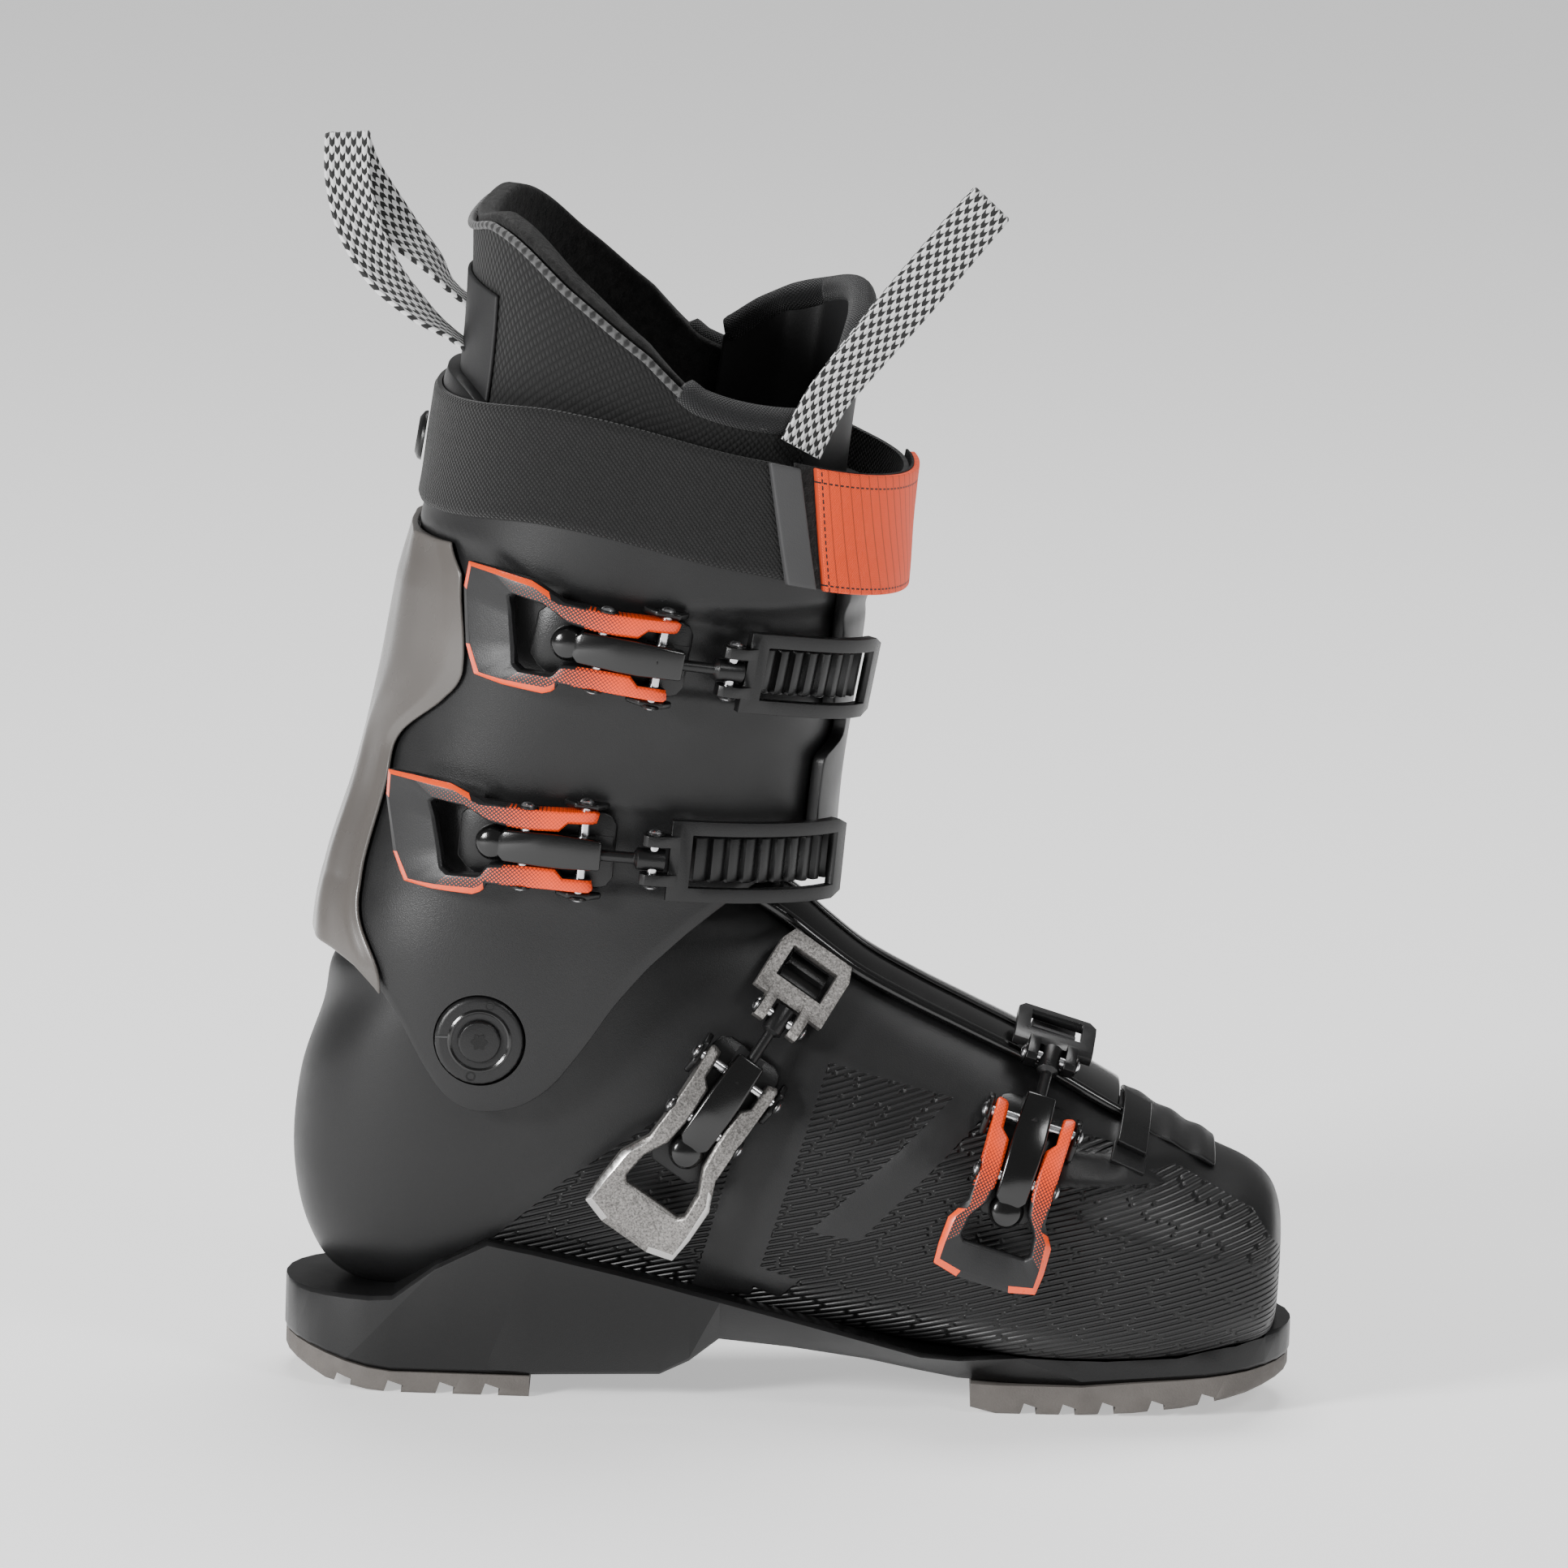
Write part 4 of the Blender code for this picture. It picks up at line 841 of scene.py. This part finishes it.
class WrapPath:
    """A smooth line round the boot in one plane, read by its length from the lever pin."""

    STEP = math.radians(3)

    def __init__(self, body, centre, tilt, pin_turn, span, reach):
        """In degrees: the tilt of the plane, the turn to the lever pin, and the span on both sides of it."""
        self.body, self.reach = body, reach
        self.centre = Vector(centre)
        self.outward = Vector((0, -1, 0))
        self.forward = Vector((math.cos(math.radians(tilt)), 0, math.sin(math.radians(tilt)))).normalized()
        self.width_dir = self.forward.cross(self.outward).normalized()
        self.trees = []
        for host in WRAPPED_NODES[body]:
            mesh = NODES[host].data
            self.trees.append(BVHTree.FromPolygons([v.co.copy() for v in mesh.vertices],
                                                   [tuple(f.vertices) for f in mesh.polygons]))
        pin_angle, (back, ahead) = math.radians(pin_turn), [math.radians(a) for a in span]
        start = pin_angle + back
        count = int((ahead - back) / self.STEP) + 1
        angles = [start + self.STEP * i for i in range(count)]
        radii = [max(self.radius(a, w) for w in (-9, 0, 9)) for a in angles]
        wide = [max(radii[max(0, i - 3):i + 4]) for i in range(count)]
        smooth = [float(np.mean(wide[max(0, i - 3):i + 4])) for i in range(count)]
        smooth = [float(np.mean(smooth[max(0, i - 2):i + 3])) for i in range(count)]
        self.points = [self.centre + self.ray(a) * r for a, r in zip(angles, smooth)]
        lengths = lengths_along(self.points)
        pin_length = float(np.interp(pin_angle, angles, lengths))
        self.lengths = [length - pin_length for length in lengths]

    def ray(self, angle):
        """Direction from the centre, 0 being straight outwards."""
        return self.outward * math.cos(angle) + self.forward * math.sin(angle)

    def radius(self, angle, across):
        """Distance from the centre to the outermost wrapped surface."""
        direction = self.ray(angle)
        start = (self.centre + direction * 200 + self.width_dir * across) * MM
        found = [tree.ray_cast(start, -direction) for tree in self.trees]
        reach = [200 - hit[3] / MM for hit in found if hit[0] is not None]
        return max(reach) if reach else 0.0

    def surface(self, length):
        """Place on the smoothed line at a length from the lever pin."""
        return Vector([float(np.interp(length, self.lengths, [p[k] for p in self.points])) for k in range(3)])

    def normal(self, length):
        tangent = (self.surface(length + 2.5) - self.surface(length - 2.5)).normalized()
        normal = self.width_dir.cross(tangent).normalized()
        return -normal if normal.dot(self.surface(length) - self.centre) < 0 else normal

    def point(self, length, height, across=0.0):
        """Place by length, height off the surface and distance across."""
        return self.surface(length) + self.normal(length) * height + self.width_dir * across


def lever_rows():
    """Rows along half the lever, then its mirror: outer and inner (length, across), lowest, highest."""
    half = [(4.3, 11.8, 3.6, 8.9, 3.4, 6.4), (3.2, 12.5, 2.4, 8.7, 2.2, 7.6),
            (0.5, 12.5, 0, 8.6, 1.1, 8.6), (-5, 12.3, -5.3, 8.5, 1.5, 9.4),
            (-7.6, 12.2, -7.8, 5.8, 2.2, 9.7), (-15, 12.1, -14, 5.6, 3.6, 10.3),
            (-20, 12.1, -20, 5.7, 4.2, 10.4), (-30, 12.4, -28.5, 6.6, 4.3, 10.2),
            (-40, 16.6, -36.5, 10.2, 4.2, 9.8), (-52, 16.9, -45.5, 11.0, 4.2, 9.4),
            (-61, 16.4, -47.5, 9.6, 4.0, 8.4), (-64, 8.4, -47.5, 5, 4.0, 7.4), (-64, 0, -47.5, 0, 4.0, 7.4)]
    both = half + [(a, -b, c, -d, e, f) for a, b, c, d, e, f in reversed(half[:-1])]
    rows = []
    for a, b in zip(both, both[1:]):
        cells = max(1, round(math.dist(a[:2], b[:2]) / 3))
        rows += [[mix(p, q, i / cells) for p, q in zip(a, b)] for i in range(cells)]
    return rows + [both[-1]]


def build_lever(name, path):
    """A forked lever: two arms and a six-sided grip, each edge chamfered, coloured strip by strip."""
    lean = 0.27 if path.body == "cuff" else 0.0
    plain, edge, dots = 0, 1, 2

    def fitted(length, across):
        """The grip made longer or shorter, and skewed on the cuff levers."""
        if length < NECK:
            length = NECK + (length - NECK) * (path.reach + NECK) / (NECK - TIP)
        return Vector((length + lean * (across + 16.5) * ease(-24, -38, length), across))
    rows, rings, flat, strips = lever_rows(), [], [], []
    for outer_length, outer_across, inner_length, inner_across, low, high in rows:
        outer, inner = fitted(outer_length, outer_across), fitted(inner_length, inner_across)
        inwards = (inner - outer).normalized()
        grip = ease(-28, -34, outer_length)
        rise, wide = mix(0.35, 1.5, grip), mix(0.5, 2.3, grip)
        section = [(outer, low), (outer, high - rise), (outer + inwards * wide, high),
                   (inner - inwards * 0.9, high), (inner, high - 0.8), (inner, low)]
        flat.append([(p.x, p.y) for p, _ in section])
        rings.append([path.point(p.x, h, p.y) for p, h in section])
    for one, two in zip(rows, rows[1:]):
        length, at_the_tip = (one[0] + two[0]) / 2, abs(one[1] + two[1]) / 2 < 8
        for k in range(6):
            strip = dots if length > (-52 if k == 2 else -24) and k < 4 else plain
            strips.append(edge if k == 1 and length < -36 and not at_the_tip else strip)
    gun = name == "instep_buckle"
    looks = (GUNMETAL, SILVER_EDGE, GUNMETAL) if gun else (PLASTIC_LEVER, ORANGE_EDGE, ORANGE_DOTS)
    lever = rings_piece(name + "_lever_body", rings, looks, lambda i, k: flat[i][k % 6])
    lever.data.polygons.foreach_set("material_index", strips + [dots, dots])
    bevel_rims(lever, 0.3, 24, 2)
    show(lever, name + "_lever_arm", "gunmetal" if gun else "orange_lever", name + "_lever")


def bar(name, path, rows, material, rounding=0.9, across=0.0):
    """A bar along a path: rows are (length, half width, lowest, highest)."""
    rings = []
    for length, half, low, high in rows:
        section = ((low, -half), (low, half), (high, half), (high, -half))
        rings.append([path.point(length, h, across + w) for h, w in section])
    piece = rings_piece(name, rings, material)
    bevel_rims(piece, rounding)
    return piece


def build_pin(name, path, kind, at, half, body):
    """A steel pin with domed heads on black washers."""
    place = path.point(*at)
    profile = [(0.4, half + 1.35), (1.3, half + 1.2), (2.0, half + 0.7), (2.3, half + 0.1), (1.6, half),
               (1.6, 0)]
    profile += [(radius, -height) for radius, height in reversed(profile)]
    pin = turned(f"{name}_{kind}_steel", profile, place, path.width_dir, STEEL)
    show(pin, body, "steel_pin", f"{name}_{kind}")
    for letter, sign in (("a", -1), ("b", 1)):
        ring = [(1.7, sign * (half - 0.5)), (3.0, sign * (half - 0.5)), (3.2, sign * (half - 0.1)),
                (3.0, sign * (half + 0.3)), (1.7, sign * (half + 0.3))]
        washer = turned(f"{name}_{kind}_washer_{letter}", ring, place, path.width_dir, PLASTIC_TRIM, 28)
        show(washer, body, "trim_plastic")


def build_buckle(name, path):
    """One whole buckle: base and ladder, link, rod, bail, lever, pins, and the pad and ears below."""
    gun, body = name == "instep_buckle", path.body
    finish_node(name + "_base", PLASTIC_CUFF, 0.5)
    finish_node(name + "_ladder", PLASTIC_GREY if name == "toe_buckle" else PLASTIC_TRIM, 0.4)
    link_rows = [(-25.5, 2.6, 5.4, 9.4), (-23, 5.0, 4.6, 10.4), (-12, 5.2, 6.6, 11.2), (-6, 5.2, 7.2, 11.6),
                 (6, 4.6, 7.6, 11.9)]
    link = bar(name + "_link_bar", path, link_rows, PLASTIC_GLOSS)
    show(link, name + "_link_arm", "trim_plastic", name + "_link")
    finish_node(name + "_rod", PLASTIC_TRIM, 0.3)
    finish_node(name + "_bail", GUNMETAL if gun else PLASTIC_TRIM, 0.6)
    rear = -path.reach * 0.6
    pad_rows = [(rear, 6.5, 0.1, 1.3), (rear + 3, 9.5, 0.1, 1.7)]
    pad_rows += [(length, 12.0, 0.1, 1.7) for length in steps(rear + 7, 5, 9)]
    pad_rows += [(8, 11, 0.1, 1.7), (10, 8, 0.1, 1.2)]
    show(bar(name + "_pad", path, pad_rows, PLASTIC_TRIM, 0.6), body, "trim_plastic")
    ear_rows = [(-7, 1.0, 0.8, 2.6), (-3.5, 1.0, 0.8, 6.6), (3.5, 1.0, 0.8, 6.6), (7, 1.0, 0.8, 2.6)]
    for letter, across in (("a", -14.0), ("b", 14.0)):
        show(bar(f"{name}_ear_{letter}", path, ear_rows, PLASTIC_TRIM, 0.7, across), body, "trim_plastic")
    build_lever(name, path)
    build_pin(name, path, "lever_pin", PIN_AT, 14.9, body)
    build_pin(name, path, "link_pin", LINK_PIN_AT, 12.5, name + "_lever_arm")
    build_pin(name, path, "bail_pin", BAIL_PIN_AT, 8.1, name + "_rod_arm")
    profile, foot = [(0.5, 9.9), (3.6, 9.7), (5.0, 8.6), (5.4, 7.0), (5.4, 4.4)], -26.5
    boss = turned(name + "_link_boss", profile, path.point(foot, 0), path.normal(foot), PLASTIC_GLOSS)
    show(boss, name + "_link_arm", "trim_plastic")


# ------------------------------------------------------------------ strap, liner, loops

STRAP_DROP = [(-116, 0), (-77, 1.5), (-20, -11.5), (25, -24.5)]      # fall of the strap's middle, by x (mm)
STRAP_HALF = 17.6


def strap_point(angle, f, offset):
    """Point of the power strap: a band that drops towards the shin and stands off it at the front."""
    z_mid = 293.5
    for _ in range(3):
        z_mid = 293.8 + smooth_table(STRAP_DROP, cuff_point(angle, z_mid).x)
    front = max(0.0, math.cos(angle))
    lift = overlap_step(angle if angle < 0 else angle - math.tau)
    z = z_mid + mix(-STRAP_HALF, STRAP_HALF, f)
    return cuff_point(angle, z, offset + 1.3 + max(lift, 6.0 * front), 5.0 * front ** 2)


def build_strap():
    """The strap's webbing, and its pull tab: orange face, grey band, hook strip behind."""
    def band(angle, f, offset):
        rim = 0.8 * max(ease(0.03, 0, f), ease(0.97, 1, f)) * (offset > 1)
        return strap_point(angle, f, offset - rim)
    turns = [-math.tau * k / 200 for k in range(200)]
    strap = plate("power_strap_web", band, turns, steps(0, 1, 24), 0.0, 2.2, STRAP_CLOTH, closed=True)
    show(strap, "cuff", "strap_webbing", "power_strap")

    def slanted(start, end, lean):
        def point(u, f, offset):
            return strap_point(math.radians(mix(start, end, u) + lean * (1 - f)), f, offset)
        return point
    along = steps(0, 1, 60)
    tab = plate("strap_tab_orange", slanted(-52, 11, 6.0), along, steps(-0.03, 1.03, 22), 3.0, 4.9,
                TAB_CLOTH, 0.5)
    show(tab, "cuff", "orange_tab", "power_strap_tab")
    grey = plate("strap_tab_grey_band", slanted(-64, -56, 8.0), steps(0, 1, 10), steps(-0.03, 1.0, 22),
                 2.4, 4.4, PLASTIC_GREY, 0.5)
    show(grey, "cuff", "orange_tab")
    under = plate("strap_tab_backing", slanted(-57, 12.5, 6.0), along, steps(-0.02, 1.04, 22), 2.3, 3.1,
                  FLEECE, 0.2)
    show(under, "cuff", "orange_tab")


def liner_point(angle, f, offset, top=0.0):
    """Point of the upper liner, f from its foot to its rim; top lowers or raises the rim."""
    z = 340.0
    for _ in range(5):
        z = mix(186.0, smooth_table(RIM, cuff_point(angle, z).x) + top, f)
    return cuff_point(angle, z, offset - CUFF_WALL - LINER_GAP)


def build_liner():
    """The upper liner: textile outside, fleece inside and over the rim, piping between them."""
    us = steps(math.radians(-42), math.radians(-318), 150)
    fs = steps(0, 1, 60)

    def face(angle, f, offset):
        return liner_point(angle, f, offset, -3.5)
    outer = plate("liner_textile_skin", face, us, fs, -2.5, 0, LINER_CLOTH, 0.6)
    show(outer, "cuff", "liner_fabric", "liner_cuff")

    def pile(angle, f, offset):
        roll = 1.4 * math.exp(-((1 - f) * 160 / 4.5) ** 2)
        return liner_point(angle, f, offset + roll * (1 if offset > -4 else -0.5), 1.0)
    inner = plate("liner_fleece_lining", pile, us, fs, -7.2, -2.6, FLEECE, 2.0)
    show(inner, "cuff", "liner_fabric")
    rim_us = steps(math.radians(-58), math.radians(-302), 160)
    cord = [liner_point(a, 1, 0.4, -3.0) for a in rim_us]
    show(cloth_tube("liner_piping", cord, 1.25, PIPING), "cuff", "liner_fabric")
    for side, sign in (("outer", 1), ("inner", -1)):
        path = [liner_point(math.radians(sign * d), 1, -2.2, -1.2) for d in steps(-86, -43, 40)]
        sleeve = cloth_tube(f"liner_{side}_sleeve", path, 4.3, TUBE_CLOTH)
        show(sleeve, "cuff", "liner_fabric")

    def heel_panel(angle, f, offset):
        top = 347 - 9 * abs(angle - math.pi) ** 2
        return cuff_point(angle, mix(300, top, f), offset - CUFF_WALL - LINER_GAP)
    heel_tab = plate("liner_heel_tab", heel_panel, steps(math.radians(138), math.radians(214), 50),
                     steps(0, 1, 30), 0.0, 1.5, LINER_SMOOTH, 0.7)
    show(heel_tab, "cuff", "liner_fabric")
    foot = NODES["liner_foot"]
    foot.data.materials.clear()
    foot.data.materials.append(LINER_CLOTH)
    foot.data.shade_smooth()


def cloth_tube(name, path, radius, material):
    """A padded tube with rounded ends."""
    sides, blunt = 24, 0.55 * radius
    turns = [math.tau * k / sides for k in range(sides)]
    along = lengths_along(path)
    rings = []
    for i, here in enumerate(path):
        ahead = (Vector(path[min(i + 1, len(path) - 1)]) - Vector(path[max(i - 1, 0)])).normalized()
        side = ahead.cross(Vector((0, 0, 1))).normalized()
        up = side.cross(ahead)
        end = min(along[i], along[-1] - along[i])
        size = radius * math.sqrt(max(0.0, 1 - (1 - min(1.0, end / blunt)) ** 2) + 0.02)
        rings.append([Vector(here) + (side * math.cos(a) + up * math.sin(a)) * size for a in turns])
    cell = math.tau * radius / sides
    return rings_piece(name, rings, material, lambda i, k: (along[i], k * cell), 70)


def build_tongue():
    """The padded tongue: low at its outer side, tall at the shin and round to its inner side."""
    crown = [(-62, 300), (-40, 306), (-25, 318), (-8, 333), (15, 340), (40, 336), (58, 329), (74, 320)]

    def point(angle, f, offset):
        z = mix(196.0, smooth_table(crown, math.degrees(angle)), f)
        tuck = 6.5 * ease(math.radians(34), math.radians(46), abs(angle))
        return cuff_point(angle, z, offset - CUFF_WALL - LINER_GAP - tuck)
    us = steps(math.radians(-60), math.radians(72), 90)
    tongue = plate("liner_tongue_skin", point, us, steps(0, 1, 50), -4.6, 0, LINER_SMOOTH, 1.6)
    show(tongue, "cuff", "liner_fabric", "liner_tongue")
    edge = [point(a, 1.0, -2.2) for a in us if a > math.radians(-34)]
    sleeve = cloth_tube("tongue_top_sleeve", edge, 4.4, TUBE_CLOTH)
    show(sleeve, "cuff", "liner_fabric")


def ribbon(name, stations, width, thickness, material):
    """A woven band through (place, direction of its width) pairs, read smoothly."""
    rows = np.array([(*place, *across) for place, across in stations], float)
    count = 12 * (len(rows) - 1)
    dense = [catmull(rows, (len(rows) - 1) * i / count) for i in range(count + 1)]
    centre = [Vector(row[:3]) for row in dense]
    along = lengths_along(centre)
    section = [(-0.5, -0.15), (-0.46, -0.5), (0, -0.5), (0.46, -0.5), (0.5, -0.15), (0.5, 0.15), (0.46, 0.5),
               (0, 0.5), (-0.46, 0.5), (-0.5, 0.15)]
    rings = []
    for i, here in enumerate(centre):
        ahead = (centre[min(i + 1, count)] - centre[max(i - 1, 0)]).normalized()
        across = Vector(dense[i][3:])
        across = (across - ahead * across.dot(ahead)).normalized()
        up = across.cross(ahead).normalized()
        rings.append([here + across * (s * width) + up * (h * thickness) for s, h in section])

    def woven(i, k):
        """UV kept positive across the band, so that the columns of yarn don't mirror."""
        return along[i], section[k % len(section)][0] * width + 50
    return rings_piece(name, rings, material, woven)


def build_loops():
    """The two pull loops, each sewn into the liner at both ends."""
    heel = [((-106, -7, 321), (0.1, 1, 0)), ((-114.4, -7, 327), (0.1, 1, 0)),
            ((-124, -7.5, 334), (0.35, 0.9, 0.2)), ((-135, -7, 345), (0.7, 0.65, 0.3)),
            ((-143, -5.5, 359), (0.92, 0.3, 0.25)),
            ((-146.8, -3.6, 373), (1, 0.05, 0.15)), ((-147.3, -2.3, 383), (1, 0, 0.1)),
            ((-147.3, 0, 386.3), (1, 0, 0.1)), ((-147, 2.3, 383), (1, 0, 0.1)),
            ((-142.5, 4.5, 372), (0.95, 0.15, 0.2)), ((-132, 6.5, 358), (0.75, 0.6, 0.3)),
            ((-121, 7.5, 347), (0.35, 0.9, 0.2)), ((-114.7, 8, 339), (0.1, 1, 0)),
            ((-106, 8, 332), (0.1, 1, 0))]
    show(ribbon("heel_loop_webbing", heel, 14, 1.5, WEBBING), "cuff", "loop_webbing", "heel_pull_loop")
    lean, flat = (0.68, 0.3, -0.66), (0.74, 0, -0.67)
    tongue = [((-6, -50.5, 302), lean), ((1.5, -47, 317), lean), ((12, -43, 330), lean), ((28, -36, 349), flat),
              ((42, -30, 366), flat), ((48.6, -27.5, 374), flat), ((49.4, -25, 375), flat),
              ((48.2, -22.5, 373.5), flat), ((41, -23, 365), flat), ((27, -28, 348), flat),
              ((16, -33.5, 335), lean), ((6, -37, 322), lean)]
    show(ribbon("tongue_loop_webbing", tongue, 14.5, 1.5, WEBBING), "cuff", "loop_webbing", "tongue_pull_loop")


# ------------------------------------------------------------------ stage

# Soft lights as (place in metres, side, watts): key, fill and rear top light, all aimed at the boot's middle.
LIGHTS = (((-1.6, -1.5, 0.9), 0.5, 62), ((1.3, -1.3, 1.5), 0.5, 10), ((0.1, 0.7, 2.0), 1.2, 34))
LIT_POINT = Vector((0, 0, 0.17))
LENS, ROLL, RISE = 335.4, math.radians(1.9), math.radians(11.1)
CAMERA_TARGET, CAMERA_DISTANCE = Vector((-0.0076, 0, 0.1886)), 4.5


def build_stage():
    """A pale seamless floor, even ambient light and three soft lights."""
    bpy.ops.mesh.primitive_plane_add(size=400, location=(0, 0, 0))
    floor = bpy.context.object
    floor.name = "studio_floor"
    pale = Look("studio_floor")
    pale.set(colour=(0.95, 0.95, 0.95, 1), rough=0.65, specular=0.1)
    pale.feed(pale.shader.inputs["Emission Color"], (1, 1, 1, 1))
    pale.feed(pale.shader.inputs["Emission Strength"], 0.55)
    floor.data.materials.append(pale.material)
    world = bpy.data.worlds.new("studio")
    bpy.context.scene.world = world
    world.use_nodes = True
    world.node_tree.nodes["Background"].inputs["Color"].default_value = (1, 1, 1, 1)
    world.node_tree.nodes["Background"].inputs["Strength"].default_value = 0.22
    for place, size, watts in LIGHTS:
        bpy.ops.object.light_add(type="AREA", location=place)
        light = bpy.context.object
        light.data.size = size
        light.data.energy = watts
        light.rotation_euler = (LIT_POINT - light.location).to_track_quat("-Z", "Y").to_euler()


def build_camera():
    """A long lens at the boot's outer side, a little above it."""
    data = bpy.data.cameras.new("camera")
    camera = bpy.data.objects.new("camera", data)
    bpy.context.scene.collection.objects.link(camera)
    data.lens, data.sensor_width = LENS, 36
    data.clip_end = 1000
    camera.location = CAMERA_TARGET + CAMERA_DISTANCE * Vector((0, -math.cos(RISE), math.sin(RISE)))
    aim = (CAMERA_TARGET - camera.location).to_track_quat("-Z", "Y").to_matrix()
    camera.rotation_euler = (aim @ Matrix.Rotation(ROLL, 3, "Z")).to_euler()
    bpy.context.scene.camera = camera


PATHS = {name: WrapPath(*row) for name, row in BUCKLES.items()}
build_shell()
build_flap()
build_gusset()
build_cuff()
build_spine()
build_rigid_nodes()
build_pivot_details()
build_toe_details()
for buckle_name, buckle_path in PATHS.items():
    build_buckle(buckle_name, buckle_path)
build_strap()
build_liner()
build_tongue()
build_loops()
build_stage()
build_camera()
